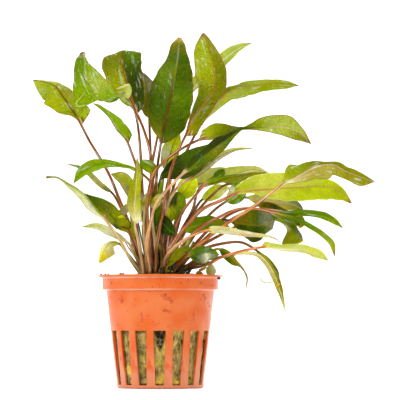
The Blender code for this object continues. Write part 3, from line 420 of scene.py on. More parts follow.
TISSUES = {
    "leaf_lime": leaf_tissue("young leaf tissue", 0.42, 0.25, 0.0, 1.02),
    "leaf_yellow": leaf_tissue("thin leaf tissue", 0.42, 0.9, 0.1, 1.1),
    "leaf_bright": leaf_tissue("bright wet leaf tissue", 0.36, 1.0, 0.3, 1.12),
    "leaf_middle": leaf_tissue("grown leaf tissue", 0.42, 0.5, 0.04, 1.4),
    "leaf_dark": leaf_tissue("shaded leaf tissue", 0.38, 0.6, 0.0, 1.35),
    "leaf_olive": leaf_tissue("old leaf tissue", 0.45, 0.4, 0.12, 1.1),
    "leaf_pale": leaf_tissue("pale leaf underside", 0.42, 0.8, 0.1, 1.02),
}
print("tissues:", len(TISSUES))

# %% [markdown]
# ## The leaves
# Every leaf is one route from the crown to its tip. Points are (across, up, depth) in millimetres as a
# level eye in front of the pot reads them, with depth away from that eye. stem holds the stalk's points
# and blade the midrib's. Of the pairs, the first is the left half of the blade and the second the right:
# paint holds the tones from base to tip, lean the degrees that the half tips forward along it, and reach
# how many millimetres it reaches sideways at even steps. A leaf with no reach is wide across at middle.
# wide also sets how long the waves of the edge are. PLAIN holds what most leaves share.

# %% Where each leaf runs
PLAIN = dict(veins=0.6, rib_wide=0.3, stalk="rust bronze", across=None, stalk_wide=1.0)
LEAVES = {
    "leaf_far_left_high": dict(
        slot="leaf_yellow", rib="bark", edge="brown_olive", tip="mint", stalk="rust rust", veins=0.75,
        rib_wide=0.85,
        paint=("brown_olive yellow_green spring yellow_green mint",
               "yellow_green yellow_green olive mint pale"),
        foot=(-5.4, -2), wide=17, lean=((-15, -25), (-25, -55)),
        reach=((0.5, 1.2, 2.3, 4.2, 5.6, 6.5, 7.3, 8, 8.7, 9.3, 9.7, 9.6, 9.1, 8.2, 6.3, 3.7, 0.2),
               (5.4, 7.2, 7.6, 7, 7.1, 7.3, 7.2, 6.8, 6.1, 5.1, 4, 2.9, 2.1, 1.5, 1.1, 0.7, 0.4)),
        stem=[(-10, 63.5, -1), (-17, 80.5, 0), (-24, 97, -1), (-31.5, 109.5, -2)],
        blade=[(-36.5, 119, -2), (-39.5, 124, -1), (-43.5, 129.5, 1), (-47.5, 134.5, 3), (-51.5, 136, 5),
            (-57, 137, 6)]),
    # The mint in its right half is a painted highlight, the whitish gloss bands on its wet face.
    "leaf_folded_left": dict(
        slot="leaf_bright", rib="ash ash bark bark", edge="brown_olive", tip="milk", stalk="rust rust",
        veins=0.8, rib_wide=0.35,
        paint=("pale mint fresh fresh grass grass", "mint mint fresh mint fresh grass"),
        foot=(-4.4, -4), wide=20, lean=((5, 5), (-5, -5)), across=(0.966, 0, 0.26),
        reach=((1.3, 0.9, 0.9, 0.9, 0.9, 0.7, 0.4, 0.4, 10.3, 8.7, 7.4, 6, 4.9, 4.2, 3.7, 2.7, 0.7),
               (1.8, 2.2, 2.9, 4.9, 6.5, 8, 8.9, 9.4, 8.7, 8.2, 7.3, 6.6, 5.5, 4.2, 2.6, 1.5, 0.7)),
        stem=[(-4, 77, -5.8), (-4, 101.5, -7.5), (-6.5, 112, -9), (-11, 123, -10)],
        blade=[(-15.5, 130.5, -10), (-21.5, 129, -17), (-27.5, 128, -24), (-31.5, 134, -25),
            (-34, 140.5, -23), (-35, 149, -18)]),
    # The milk and pale near the base of its left half are a painted highlight, a white strip of gloss beside
    # the midrib.
    "leaf_hanging_left": dict(
        slot="leaf_bright", rib="rust", edge="grass", tip="grass", stalk="rust rust", veins=0.5,
        paint=("straw milk pale fresh fresh", "fresh fresh fresh fresh spring"),
        foot=(-5.4, 2), wide=9, lean=((40, 40), (20, 30)),
        reach=((0.5, 0.5, 0.5, 0.5, 0.5, 0.5, 0.5, 0.3, 0.2),
               (3.5, 4.5, 4.8, 4.4, 3.2, 2.2, 1.6, 1.3, 0.2)),
        stem=[(-7.5, 74.5, 5.5), (-10, 96, 4), (-12.5, 103.5, 4)],
        blade=[(-15.5, 110.5, 4), (-19.5, 115, 5), (-22.5, 120, 6), (-26.5, 124, 8), (-30, 126.5, 9)]),
    "leaf_broad_top": dict(
        slot="leaf_bright", rib="bronze brown bronze bark dark_brown dark_brown", edge="bronze",
        tip="grass", veins=1, rib_wide=0.8,
        paint=("bronze spring spring moss moss leaf leaf", "deep deep deep leaf grass fresh fresh"),
        foot=(-4.4, 0), wide=18, lean=((-8, -14), (-5, -14)), across=(1, 0, 0.12),
        reach=((0.9, 2.2, 4, 5.4, 6.8, 7.9, 8.8, 9.2, 9.5, 8.4, 3.6, 2.7, 3.6, 3.6, 3.2, 2.7, 1.8),
               (4.5, 5.8, 6.5, 6.9, 7.4, 7.8, 8.1, 8.4, 8.6, 8.6, 8.3, 7.7, 6.8, 5.9, 4.6, 3.2, 1.8)),
        stem=[(-6.5, 68, 2), (-8, 87, 2), (-9, 105.5, 1), (-10, 116, 0.3)],
        blade=[(-11.5, 124, 0), (-13.5, 130.5, -1), (-15.5, 137.5, -1), (-17, 144.5, -1),
            (-17, 150, 1.5), (-17.5, 147, 9), (-17.5, 140.5, 14)]),
    "leaf_grey_behind": dict(
        slot="leaf_middle", rib="bark", edge="bark", tip="grey_green", stalk="rust rust", veins=0.7,
        rib_wide=0.5,
        paint=("moss leaf moss grey_green", "moss grey_green shade"),
        foot=(-3.3, 6.2), wide=11, middle=0.45, lean=((15, 25), (-25, -30)),
        stem=[(-3.5, 63.5, 8), (-4, 81, 10), (-4.5, 105.5, 12)],
        blade=[(-5, 120, 15), (-5, 128, 18), (-6.5, 135, 22), (-8, 140.5, 27)]),
    "leaf_tall_middle": dict(
        slot="leaf_middle", rib="dark_brown bark bark bark moss grey_green moss", edge="bronze",
        tip="straw", stalk="dark_brown bark", veins=1, rib_wide=1.05,
        paint=("moss leaf leaf grass leaf moss", "leaf leaf grass leaf leaf moss"),
        foot=(-2.3, 0), wide=20, lean=((-8, -15), (-8, -15)),
        reach=((1.3, 4.7, 7.2, 8.3, 9, 9.6, 9.9, 10, 9.7, 9.1, 8.2, 6.8, 5.5, 4.7, 4.3, 3.4, 0.9),
               (4, 6.7, 8.8, 9.5, 9.9, 10.1, 10.1, 9.9, 9.5, 9.1, 8.4, 7.5, 6.4, 5, 3.7, 2.8, 0.9)),
        stem=[(-3, 74.5, -1), (-2, 90.5, 0), (-1, 101, 1)],
        blade=[(0.5, 110.5, 2), (2.5, 119.5, 2), (4.5, 128.5, 2), (6, 137.5, 3), (7.5, 146, 5),
            (8.5, 156, 9)]),
    "leaf_tall_right": dict(
        slot="leaf_yellow", rib="rust", edge="rust", tip="rust", stalk="rust rust", veins=0.9,
        rib_wide=0.5,
        paint=("brown_olive leaf moss spring lime_shade spring", "olive moss moss moss olive olive"),
        foot=(-2.2, -8.2), wide=16, lean=((-5, -20), (-10, -25)),
        reach=((0.7, 1.1, 1.6, 2.6, 3.6, 5.1, 6.6, 7.7, 8.6, 8.8, 8.9, 8.7, 8.3, 7.6, 6.6, 4.7, 0.7),
               (4.5, 4.8, 5.2, 5.1, 5, 4.6, 4.2, 4.7, 5.3, 5.4, 5.4, 5, 4.5, 3.9, 3.1, 2.2, 0.6)),
        stem=[(-1.5, 64, -9), (1, 78, -9.5), (3, 90, -9), (7, 103.5, -8.5)],
        blade=[(12, 114, -8), (14, 119, -8.5), (16.5, 123, -9), (21, 128.5, -11), (23.5, 132, -12),
            (24.5, 136.5, -12), (23.5, 144, -11), (21.5, 150.5, -8), (19, 158, -4)]),
    "leaf_back_pale": dict(
        slot="leaf_pale", rib="milk", edge="pale", tip="bronze", stalk="rust olive", veins=0.2,
        paint=("mint mint mint mint", "pale pale mint mint"),
        foot=(-1.1, 6.2), wide=6.5, lean=((10, 10), (-30, -30)),
        reach=((0.9, 3.6, 3.6, 3.2, 3.2, 3.4, 2.9, 1.8, 0.2),
               (0.5, 1.5, 3.1, 3.6, 3.1, 2.8, 2.1, 1, 0.2)),
        stem=[(2.5, 77, 13), (5, 97, 18), (7.5, 113.5, 22), (9.5, 124, 25)],
        blade=[(12.5, 130, 28), (19.5, 138.5, 32), (27.5, 145.5, 36), (34, 150.5, 40),
            (40.5, 153.5, 45)]),
    "leaf_upper_right": dict(
        slot="leaf_bright", rib="copper", edge="fresh", tip="rust",
        paint=("leaf moss olive mint spring spring", "mint lime_soft mint spring spring spring"),
        foot=(-0.1, 4.1), wide=8, lean=((30, 35), (5, 20)),
        reach=((1, 2.1, 2.6, 1.8, 2.6, 2.3, 1.9, 1.6, 0.2),
               (0.9, 2.5, 3.8, 5.1, 4.6, 3.8, 3.4, 2.7, 0.2)),
        stem=[(2, 68, 5), (5.5, 88, 6), (13, 108, 7)],
        blade=[(20, 120, 8), (24.5, 126, 10), (30.5, 132, 12), (34.5, 133.5, 14), (40.5, 134.5, 18),
            (48, 135.5, 22), (55, 135.5, 26), (61.5, 134.5, 29)]),
    "leaf_twisted_right": dict(
        slot="leaf_pale", rib="copper moss leaf leaf rose rose tan", edge="bronze", tip="rust",
        stalk="copper rust", veins=0.8, rib_wide=0.35,
        paint=("spring yellow_green moss leaf yellow_green mint mint mint olive",
               "yellow_green moss leaf olive mint mint mint olive moss"),
        foot=(-3.4, -6.1), wide=10, lean=((10, 25, 60, 40, 20, 20), (30, 50, 50, 10, 5, 5)),
        reach=((3.6, 5.7, 4, 1.6, 5.2, 6, 5.6, 2.4, 0.2), (1, 1.9, 1.4, 0.7, 1.5, 2.8, 4, 3.6, 0.2)),
        stem=[(-5.5, 70, -9), (-5.5, 85.5, -11.5), (-3.5, 94, -12), (1.5, 100.5, -12.5), (9, 106, -13)],
        blade=[(19.5, 111, -14), (24.5, 112, -16), (30.5, 113.5, -18), (36.5, 115, -20),
            (42.5, 115.5, -22), (50, 116, -24), (57, 115.5, -26), (62.5, 113, -27), (67, 108.5, -27)]),
    "leaf_big_dark": dict(
        slot="leaf_dark", rib="leaf", edge="deep", tip="deep", stalk="tan tan", veins=1, rib_wide=0.4,
        paint=("deep deep shade deep", "moss leaf moss leaf olive"),
        foot=(-4.4, -8.2), wide=8, lean=((-5, -10), (-15, -20)),
        reach=((1.3, 3.3, 3.4, 2.9, 3.4, 3.6, 2.5, 1.4, 0.2), (0.7, 1.8, 3.2, 3.8, 3.5, 3, 2, 0.9, 0.2)),
        stem=[(-6, 65.5, -12.5), (-4.5, 73, -14), (-2.5, 80.5, -15.5), (1, 86, -16), (5.5, 90.5, -16.5)],
        blade=[(11, 96, -17.5), (14.5, 98.5, -18.5), (19.5, 103, -21), (25, 107, -23), (30.5, 111, -25),
            (36.5, 115, -27.5)]),
    "leaf_dark_wavy": dict(
        slot="leaf_middle", rib="deep", edge="deep", tip="leaf", stalk="rust deep", veins=0.9,
        rib_wide=0.5,
        paint=("deep night leaf leaf leaf", "deep deep leaf leaf"),
        foot=(-1.1, 2), wide=8, lean=((15, 15), (-15, -10)),
        reach=((0.9, 2.3, 3.7, 4.6, 4.6, 4.4, 3.4, 1.8, 0.2),
               (0.9, 3.7, 5.5, 6.4, 6.4, 6.4, 5, 2.3, 0.2)),
        stem=[(-1, 68, 2), (-0.5, 83.5, 0)],
        blade=[(0.5, 93.5, -1.5), (5, 97, -2), (11.5, 100, -3), (16.5, 103.5, -4), (22.5, 108.5, -5)]),
    "leaf_olive_curled": dict(
        slot="leaf_olive", rib="bronze", edge="bronze", tip="bronze", stalk="rust tan tan",
        paint=("olive dry_olive pale pale", "dry_olive milk dry_olive"),
        foot=(0, -4.1), wide=6.5, lean=((-30, -50), (-20, -40)),
        reach=((1.5, 2.6, 3.3, 3.4, 2.9, 2.1, 1.6, 1, 0.3),
               (0.9, 1.4, 1.7, 1.8, 1.5, 1.3, 0.8, 0.6, 0.2)),
        stem=[(1.5, 71, -3.2), (3.5, 82, -4.6), (6.5, 87.5, -4.2), (9, 90.5, -1.5)],
        blade=[(12.5, 92.5, 1.5), (18, 96.5, 3.5), (23, 100.5, 2), (28.5, 104, 0), (34.5, 106, -2),
            (41, 106.5, -3)]),
    "leaf_backlit": dict(
        slot="leaf_lime", rib="bark", edge="lime", tip="lime", stalk="bark olive", veins=0.4,
        rib_wide=0.4,
        paint=("grey_green milk lime_bright lime", "lime_bright lime_bright lime"),
        foot=(-2.3, 4.1), wide=8.5, middle=0.45, lean=((10, 0), (-25, -20)),
        stem=[(0, 70, 9), (0.5, 85.5, 13)],
        blade=[(2, 97, 15), (4, 103, 17), (6, 109, 19), (8.5, 114, 21)]),
    "leaf_bright_middle": dict(
        slot="leaf_lime", rib="olive", edge="lime_bright", tip="lime", veins=0.3,
        paint=("grass glow glow lime_bright", "fresh glow glow"),
        foot=(1, 6.2), wide=9, middle=0.5, lean=((10, 10), (-15, -15)),
        stem=[(3, 65.5, 10), (5.5, 78, 12)],
        blade=[(8, 84, 12), (10.5, 87, 13), (13, 90.5, 15), (15.5, 94, 18)]),
    "leaf_rounded_green": dict(
        slot="leaf_middle", rib="olive", edge="leaf", tip="grass", veins=0.7,
        paint=("olive lime lime deep bottle leaf", "brown_olive grass fresh fresh grass"),
        foot=(0, 0), wide=9, lean=((20, 30), (-20, -20)),
        reach=((0.4, 0.5, 0.7, 1.9, 4.2, 4.5, 4.3, 3, 1), (0.5, 1.9, 3.1, 3.8, 4.3, 4.3, 4, 2.8, 0.9)),
        stem=[(2.5, 61, -0.3), (4.5, 67, -0.6)],
        blade=[(6.5, 73.5, -0.6), (7, 78, -0.8), (7.5, 82.5, -1), (8, 87, -1.2)]),
    "leaf_small_behind": dict(
        slot="leaf_yellow", rib="lime_shade", edge="lime_shade", tip="lime", veins=0.4,
        paint=("yellow_green glow glow", "lime glow"),
        foot=(1, 2), wide=5, middle=0.5, lean=((0, 0), (-10, -10)),
        stem=[(2.5, 63.5, 2.2)],
        blade=[(4, 73, 2), (4.5, 77, 2.5), (5, 81.5, 3)]),
    "leaf_dark_low": dict(
        slot="leaf_dark", rib="leaf", edge="deep", tip="deep", stalk="rust bark", veins=0.7,
        rib_wide=0.4,
        paint=("bottle bottle night night", "bottle bottle shade bottle"),
        foot=(1, -6.1), wide=9, lean=((-10, -10), (-10, -10)),
        reach=((0.5, 1.4, 2.5, 3.4, 3.8, 3.8, 3.2, 2, 0.7),
               (0.5, 1.6, 2.5, 3.2, 3.6, 3.7, 3.5, 2.7, 0.9)),
        stem=[(3.5, 60.5, -6.5), (6.5, 65, -6.5)],
        blade=[(6.5, 68, -6.5), (4, 70, -6.3), (1, 73, -6), (-2.5, 75.5, -5.7)]),
    "leaf_front_pale": dict(
        slot="leaf_pale", rib="rose", edge="olive", tip="yellow_green", stalk="tan tan", veins=0.5,
        paint=("cream dry_olive olive olive brown_olive olive",
               "milk lime_soft spring lime spring olive"),
        foot=(-7.5, -8.2), wide=6.5, lean=((-10, -20), (-15, -30)),
        reach=((0.5, 2.3, 3.5, 3.5, 2.9, 1.9, 1.2, 0.7, 0.1),
               (3.2, 3.2, 2.9, 2.5, 2.3, 2.2, 2.1, 1.4, 0.2)),
        stem=[(-9.5, 63.5, -13)],
        blade=[(-11.5, 73.5, -18), (-11.5, 81, -20), (-11, 88, -21), (-10.5, 95, -20.5),
            (-10.5, 102.5, -19)]),
    "leaf_left_arching": dict(
        slot="leaf_bright", rib="grass", edge="grass", tip="leaf",
        paint=("mint fresh fresh fresh fresh", "fresh fresh fresh fresh"),
        foot=(-1.1, -2), wide=8, lean=((50, 50), (15, 15)),
        reach=((1, 1, 1.4, 2.2, 3.3, 4, 4.3, 3, 0.3), (0.6, 1, 1.4, 1.8, 2.3, 2.9, 2.9, 2.1, 0.2)),
        stem=[(-1, 63.5, -3), (-1, 77, -4), (-1.5, 86, -3.8), (-4.5, 91.5, -4.6), (-7.5, 94.5, -6)],
        blade=[(-11, 97, -8), (-17, 98.5, -11), (-24, 99.5, -14), (-30, 98.5, -17), (-34.5, 96, -19),
            (-38.5, 91, -21)]),
    "leaf_small_glossy": dict(
        slot="leaf_bright", rib="leaf", edge="leaf", tip="grass",
        paint=("yellow_green yellow_green grass grass", "olive moss grass grass"),
        foot=(-3.3, -2), wide=5.5, middle=0.5, lean=((10, 10), (-10, -10)),
        stem=[(-3.5, 63.5, -2.6), (-3, 72.5, -3.6), (-1.5, 86.5, -7)],
        blade=[(-2.5, 94.5, -10.2), (-4, 97.5, -10.6), (-7, 99.5, -11.3), (-9, 101, -12)]),
    "leaf_curled_left": dict(
        slot="leaf_middle", rib="ash", edge="leaf", tip="pale", veins=0.5,
        paint=("leaf pale grass leaf", "grass pale grass leaf"),
        foot=(-6.5, 0), wide=3.5, middle=0.4, lean=((30, 60), (-30, -60)),
        stem=[(-10.5, 62, 1.5), (-14.5, 72, 3), (-17.5, 79.5, 3)],
        blade=[(-22, 87, 2), (-25, 89, 1.5), (-28, 91.5, 1), (-31.5, 95, 1), (-36, 98, 1),
            (-42, 99.5, 1)]),
    "leaf_olive_left": dict(
        slot="leaf_olive", rib="olive", edge="brown_olive", tip="brown_olive",
        paint=("milk cream lime_soft pale", "lime_bright lime lime lime_soft olive"),
        foot=(-7.5, 2), wide=7, lean=((35, 45), (10, 10)),
        reach=((0.5, 1.7, 2.5, 2.8, 3.2, 3.1, 2.7, 1.8, 0.3),
               (0.5, 1.8, 2.7, 3.4, 3.6, 3.6, 2.9, 1.8, 0.2)),
        stem=[(-10, 68, 7)],
        blade=[(-13, 83, 7), (-14, 88, 6), (-17, 92.5, 5), (-22, 95, 4)]),
    "leaf_long_left": dict(
        slot="leaf_pale", rib="olive", edge="fresh", tip="brown", stalk="straw tan", veins=0.4,
        paint=("milk milk milk pale fresh", "olive moss pale olive olive"),
        foot=(-8.6, -6.1), wide=6.5, lean=((25, 20), (75, 70)),
        reach=((0.5, 2.2, 3.2, 3.1, 2.6, 1.9, 0.7, 0.4, 0.6),
               (1.5, 1.5, 1.5, 1.5, 1.5, 1.5, 1.3, 1, 1.5)),
        stem=[(-14.5, 59, -11), (-18.5, 66.5, -15)],
        blade=[(-25.5, 75.5, -19.5), (-28.5, 79, -21), (-32, 83.5, -22.5), (-36, 87.5, -24),
            (-41, 90.5, -26), (-46.5, 93.5, -28), (-51, 93.5, -29)]),
    "leaf_dark_left": dict(
        slot="leaf_olive", rib="bark", edge="olive", tip="deep", veins=0.9, rib_wide=0.5,
        paint=("olive spring moss leaf deep", "spring lime_shade moss leaf deep"),
        foot=(-7.5, -2), wide=8.8, lean=((-10, -15), (-20, -30)),
        reach=((0.9, 2.3, 2.7, 3, 3.2, 2.7, 2.1, 1.1, 0.1), (0.9, 2.9, 3.8, 4.6, 4.7, 4, 3, 1.5, 0.2)),
        stem=[(-10, 59, -4.5), (-12, 64.5, -7.5)],
        blade=[(-14.5, 69.5, -10), (-19, 73.5, -12), (-23.5, 78, -14), (-28.5, 82, -16),
            (-34.5, 86.5, -17)]),
    "leaf_pale_low_left": dict(
        slot="leaf_pale", rib="milk", edge="mint", tip="brown", stalk="bark straw", veins=0.3,
        paint=("milk milk cream", "milk milk mint"),
        foot=(-6.4, -4), wide=5, middle=0.5, lean=((50, 50), (40, 40)),
        stem=[(-9.5, 56, -6), (-11.5, 59, -7.5)],
        blade=[(-14.5, 64.5, -8.5), (-18, 66.5, -10), (-22.5, 69, -11.5), (-28, 71.5, -13),
            (-34.5, 71.5, -14)]),
    "leaf_yellow_low_left": dict(
        slot="leaf_yellow", rib="olive", edge="pale", tip="orange", stalk="rust olive", veins=0.3,
        paint=("pale cream cream gold gold", "olive cream cream gold gold"),
        foot=(-8.4, -4), wide=7, lean=((-20, -20), (-10, -10)),
        reach=((0.7, 2.1, 3.8, 5, 5.2, 4.5, 3.3, 2.1, 0.6), (0.5, 0.7, 0.9, 1.4, 1.9, 1.8, 1.4, 1, 0.6)),
        stem=[(-11.5, 55.5, -5), (-15.5, 60.5, -6)],
        blade=[(-18.5, 64, -7), (-21.5, 64.5, -8), (-24, 62.5, -9), (-25.5, 59.5, -9.5),
            (-27, 55.5, -9.5)]),
    "leaf_rightmost": dict(
        slot="leaf_bright", rib="rose", edge="brown_olive", tip="ash", stalk="orange orange tan",
        veins=0.7, rib_wide=0.45,
        paint=("spring yellow_green moss moss olive olive", "milk dry_olive dry_olive olive olive"),
        foot=(4.2, -4.1), wide=13, lean=((30, 50, 60), (-25, -15, -10)),
        reach=((1.5, 7.1, 5.5, 3.8, 1.9, 2.9, 3.3, 2.6, 0.4),
               (0.5, 2.9, 4.7, 6.4, 6.2, 3.9, 3.4, 3.9, 0.2)),
        stem=[(6.5, 54, -5), (8.5, 56, -7), (13, 60, -11), (18.5, 64.5, -13.5), (28.5, 72, -17),
            (40.5, 80, -22), (49.5, 86.5, -26)],
        blade=[(55.5, 91, -28), (60.5, 93.5, -30), (67.5, 97.5, -33), (72, 99, -36), (77.5, 99, -38),
            (82, 96.5, -39), (87, 94.5, -39.5), (95.5, 91.5, -41)]),
    "leaf_big_lime": dict(
        slot="leaf_lime", rib="copper", edge="lime_soft", tip="rust", stalk="copper copper", veins=0.5,
        rib_wide=0.5,
        paint=("spring lime_soft lime_soft lime spring", "lime_soft lime_soft lime lime spring"),
        foot=(0, -8.2), wide=13, lean=((10, 20), (-15, -30)), stalk_wide=1.25,
        reach=((3.2, 6.1, 7.1, 7, 6.2, 4.6, 3.3, 1.9, 0.2), (0.7, 1.4, 4, 5.7, 6.3, 6.4, 6.2, 4.5, 0.3)),
        stem=[(2.5, 57, -10.6), (5, 62.5, -12), (13, 73.5, -13.5), (19, 79.5, -14), (26.5, 83, -15)],
        blade=[(34.5, 86.5, -17), (40.5, 87.5, -18.5), (46, 88, -20), (53, 88.5, -21), (62, 89, -23),
            (71, 89.5, -24), (76.5, 89, -25), (81, 86.5, -25.5), (85, 82, -26)]),
    "leaf_pale_back_right": dict(
        slot="leaf_pale", rib="bronze", edge="mint", tip="pale", veins=0.3, rib_wide=0.4,
        paint=("pale pale lime_soft cream", "tan pale cream mint"),
        foot=(2, 4.1), wide=9, lean=((15, 30), (-25, -35)),
        reach=((1.4, 5.1, 5.6, 5, 4.3, 3.2, 2, 1.5, 0.2), (0.5, 2, 2.5, 2.5, 2.6, 2.6, 2.6, 1.9, 0.2)),
        stem=[(6, 65.5, 7), (10, 80, 14)],
        blade=[(12.5, 89.5, 21), (19, 91, 24), (24.5, 93, 27), (30.5, 94, 29), (36.5, 96, 32),
            (41.5, 97, 35), (49, 95, 38)]),
    "leaf_thin_dark": dict(
        slot="leaf_dark", rib="bark", edge="leaf", tip="leaf", stalk="rust copper", rib_wide=0.4,
        paint=("fresh fresh olive olive", "spring fresh olive olive"),
        foot=(1, -2), wide=6, lean=((30, 60), (-30, -65)),
        reach=((1.5, 2.9, 2, 1.5, 1.3, 1.2, 1.1, 0.8, 0.4), (0.5, 1.1, 1.7, 4, 5.3, 3.6, 2.4, 1.4, 0.4)),
        stem=[(5.5, 65.5, -4), (8.5, 76, -5), (13, 82.5, -5), (16.5, 86.5, -4.6)],
        blade=[(20.5, 90.5, -4), (23.5, 91, -3.8), (29, 93, -3.5), (34.5, 94, -3), (40.5, 95, -1),
            (46.5, 95.5, 2)]),
    "leaf_small_round": dict(
        slot="leaf_bright", rib="leaf", edge="leaf", tip="leaf", stalk="rust rust", veins=0.5,
        rib_wide=0.45,
        paint=("grass leaf", "grass grass"),
        foot=(3.2, 6.2), wide=4, middle=0.55, lean=((20, 20), (0, 0)),
        stem=[(8.5, 68, 8), (14.5, 79.5, 8), (17, 88, 8)],
        blade=[(23.5, 93.5, 8), (25, 94.5, 8), (27, 95.5, 8), (28.5, 97, 8)]),
    "leaf_glossy_lobe": dict(
        slot="leaf_bright", rib="grass", edge="grass", tip="grass", veins=0.5,
        paint=("grass grass grass", "grass milk fresh"),
        foot=(2, 0), wide=8.5, middle=0.5, lean=((10, -10), (30, 10)),
        stem=[(10.5, 68.5, 0), (16.5, 78.5, 0), (22.5, 85, -1), (27.5, 89.5, -3)],
        blade=[(32, 90.5, -5), (33.5, 89, -7), (34, 87, -9), (32, 84.5, -11), (29, 83, -12)]),
    "leaf_lime_behind": dict(
        slot="leaf_lime", rib="lime", edge="lime", tip="lime_bright", stalk="rust bark", veins=0.3,
        paint=("lime_soft lime lime_soft", "lime lime_soft milk"),
        foot=(3.2, 2.1), wide=6.5, middle=0.5, lean=((10, 20), (-20, -20)),
        stem=[(7.5, 63, 5), (14, 76.5, 7)],
        blade=[(18.5, 83.5, 9), (22, 85.5, 11), (26, 87.5, 13), (30.5, 89, 15)]),
    "leaf_drooping_dark": dict(
        slot="leaf_dark", rib="brown_olive", edge="deep", tip="grey_green", stalk="bark dark_brown",
        veins=1, rib_wide=0.6,
        paint=("brown_olive brown_olive moss leaf grey_green grey_green",
               "brown_olive deep leaf deep leaf grey_green"),
        foot=(4.2, 4.1), wide=16.5, lean=((10, -5), (-5, -15)),
        reach=((1.4, 4.5, 5.8, 6.9, 7.6, 7.6, 6.9, 5.6, 3.1),
               (0.9, 3.1, 4.9, 6.5, 7.7, 6.8, 5.5, 3.2, 0.5)),
        stem=[(10.5, 62.5, 3.2), (17.5, 70.5, 4), (24.5, 73.5, 3), (29, 74.5, 1.5)],
        blade=[(32.5, 73.5, 0), (35.5, 73, -1.5), (39, 72.5, -3.5), (42.5, 72, -5.5), (46, 72, -7.5),
            (50, 71, -9)]),
    "leaf_right_green": dict(
        slot="leaf_bright", rib="leaf", edge="leaf", tip="rust", stalk="rust copper",
        paint=("leaf grass grass grass lime_shade", "deep leaf grass fresh lime_shade"),
        foot=(5.3, 2.1), wide=5.5, lean=((40, 30), (-10, -25)),
        reach=((0.6, 1.4, 1.8, 1.9, 1.8, 1.7, 1.6, 1.3, 0.2),
               (0.5, 1.1, 1.5, 1.5, 1.6, 1.9, 1.9, 1.4, 0.2)),
        stem=[(15.5, 62, 5), (28.5, 73, 8), (40.5, 78.5, 9)],
        blade=[(52, 78.5, 9), (55, 77.5, 8), (60, 77.5, 7), (67.5, 77.5, 6), (73, 76.5, 5),
            (77.5, 74, 4), (81, 71, 3)]),
    "leaf_right_curved": dict(
        slot="leaf_middle", rib="leaf", edge="leaf", tip="bronze", stalk="copper copper copper",
        paint=("rose olive leaf grass grass fresh olive", "tan leaf leaf grass fresh mint olive"),
        foot=(3.2, -6.1), wide=6, lean=((-10, -10), (-45, -30)),
        reach=((0.5, 1.1, 1.4, 1.4, 1.4, 1.4, 1.4, 1.4, 0.2),
               (0.6, 1.2, 1.2, 1.1, 1.1, 1.2, 1.3, 1.2, 0.2)),
        stem=[(8.5, 61, -7), (17, 70.5, -9.5), (25.5, 75.5, -12), (35.5, 79.5, -12.5), (45, 79, -13)],
        blade=[(48.5, 78, -13.5), (54.5, 76, -14), (60.5, 74.5, -15), (66.5, 71.5, -17), (72, 68, -19),
            (76, 64, -21), (77.5, 58.5, -22)]),
    "leaf_olive_mid": dict(
        slot="leaf_olive", rib="bark", edge="bronze", tip="brown", veins=0.9, rib_wide=0.4,
        paint=("brown_olive deep olive leaf", "brown_olive moss dry_olive brown_olive"),
        foot=(6.4, 4.1), wide=6, middle=0.4, lean=((20, 20), (-20, -20)),
        stem=[(14, 62, 9), (25, 73, 13), (35.5, 79, 15), (40, 80, 15.5)],
        blade=[(43.5, 81, 16), (48, 80, 16), (53, 77.5, 15), (58, 75, 14), (62.5, 71.5, 13)]),
    "leaf_back_olive": dict(
        slot="leaf_olive", rib="tan", edge="olive", tip="deep", rib_wide=0.4,
        paint=("lime_soft pale straw grey_green leaf", "pale pale dry_olive leaf"),
        foot=(5.3, 6.2), wide=7.5, middle=0.5, lean=((10, 10), (-10, -10)),
        stem=[(13, 64.5, 13), (23, 78, 18), (32.5, 84, 22)],
        blade=[(38.5, 84.5, 23), (45, 83.5, 24), (51, 82.5, 25), (56, 82, 26), (60, 81, 27),
            (63.5, 79, 28)]),
    "leaf_pale_narrow": dict(
        slot="leaf_pale", rib="tan", edge="pale", tip="bronze", stalk="rust tan orange", veins=0.4,
        paint=("straw cream milk cream grey_green", "pale milk tan cream grey_green"),
        foot=(1.2, -10), wide=4.2, middle=0.25, lean=((30, 70), (-30, -70)),
        stem=[(2, 57, -13), (6, 62, -15.5), (14, 67.5, -17.5)],
        blade=[(21.5, 70, -20), (27.5, 70, -22), (34, 69, -24), (40.5, 68, -27), (46, 67.5, -29),
            (50.5, 66.5, -31), (54, 64, -33)]),
    "leaf_yellow_tip": dict(
        slot="leaf_yellow", rib="grass", edge="olive", tip="gold",
        paint=("leaf fresh grass leaf grey_green grey_green", "olive milk milk olive spring olive"),
        foot=(6.4, 0), wide=9, lean=((60, 45), (-10, 25)),
        reach=((0.9, 2.5, 4, 4.6, 4.4, 3.5, 2.4, 1.9, 0.3), (0.5, 0.4, 0.4, 0.9, 2.2, 6.8, 8.3, 6.9, 2)),
        stem=[(17.5, 62.5, 3), (27, 68, 6), (34.5, 72, 9), (42.5, 75, 10)],
        blade=[(49.5, 75, 10), (54, 73.5, 10), (58, 71, 9), (61, 68, 8), (63.5, 65, 7)]),
    "leaf_pale_low_right": dict(
        slot="leaf_pale", rib="straw", edge="mint", tip="lime_shade",
        stalk="bark dark_brown copper orange orange", veins=0.4,
        paint=("pale mint pale lime_soft pale", "milk milk pale mint"),
        foot=(6.5, -4.1), wide=6, lean=((20, 30), (-40, -30)),
        reach=((2.4, 2.1, 1.8, 2.2, 2.7, 2.5, 2.4, 1.8, 0.2),
               (0.6, 0.9, 1.6, 1.7, 1.5, 1.6, 2.4, 1.6, 0.2)),
        stem=[(13, 53, -9), (18, 54, -14), (22.5, 55.5, -18), (26, 57.5, -20.5), (32, 59.5, -23),
            (40, 61.5, -26)],
        blade=[(46.5, 62.5, -28), (53, 62, -30), (60, 61.5, -32), (66.5, 60.5, -34), (71, 59, -36),
            (74.5, 56.5, -38)]),
    "leaf_arching_low_right": dict(
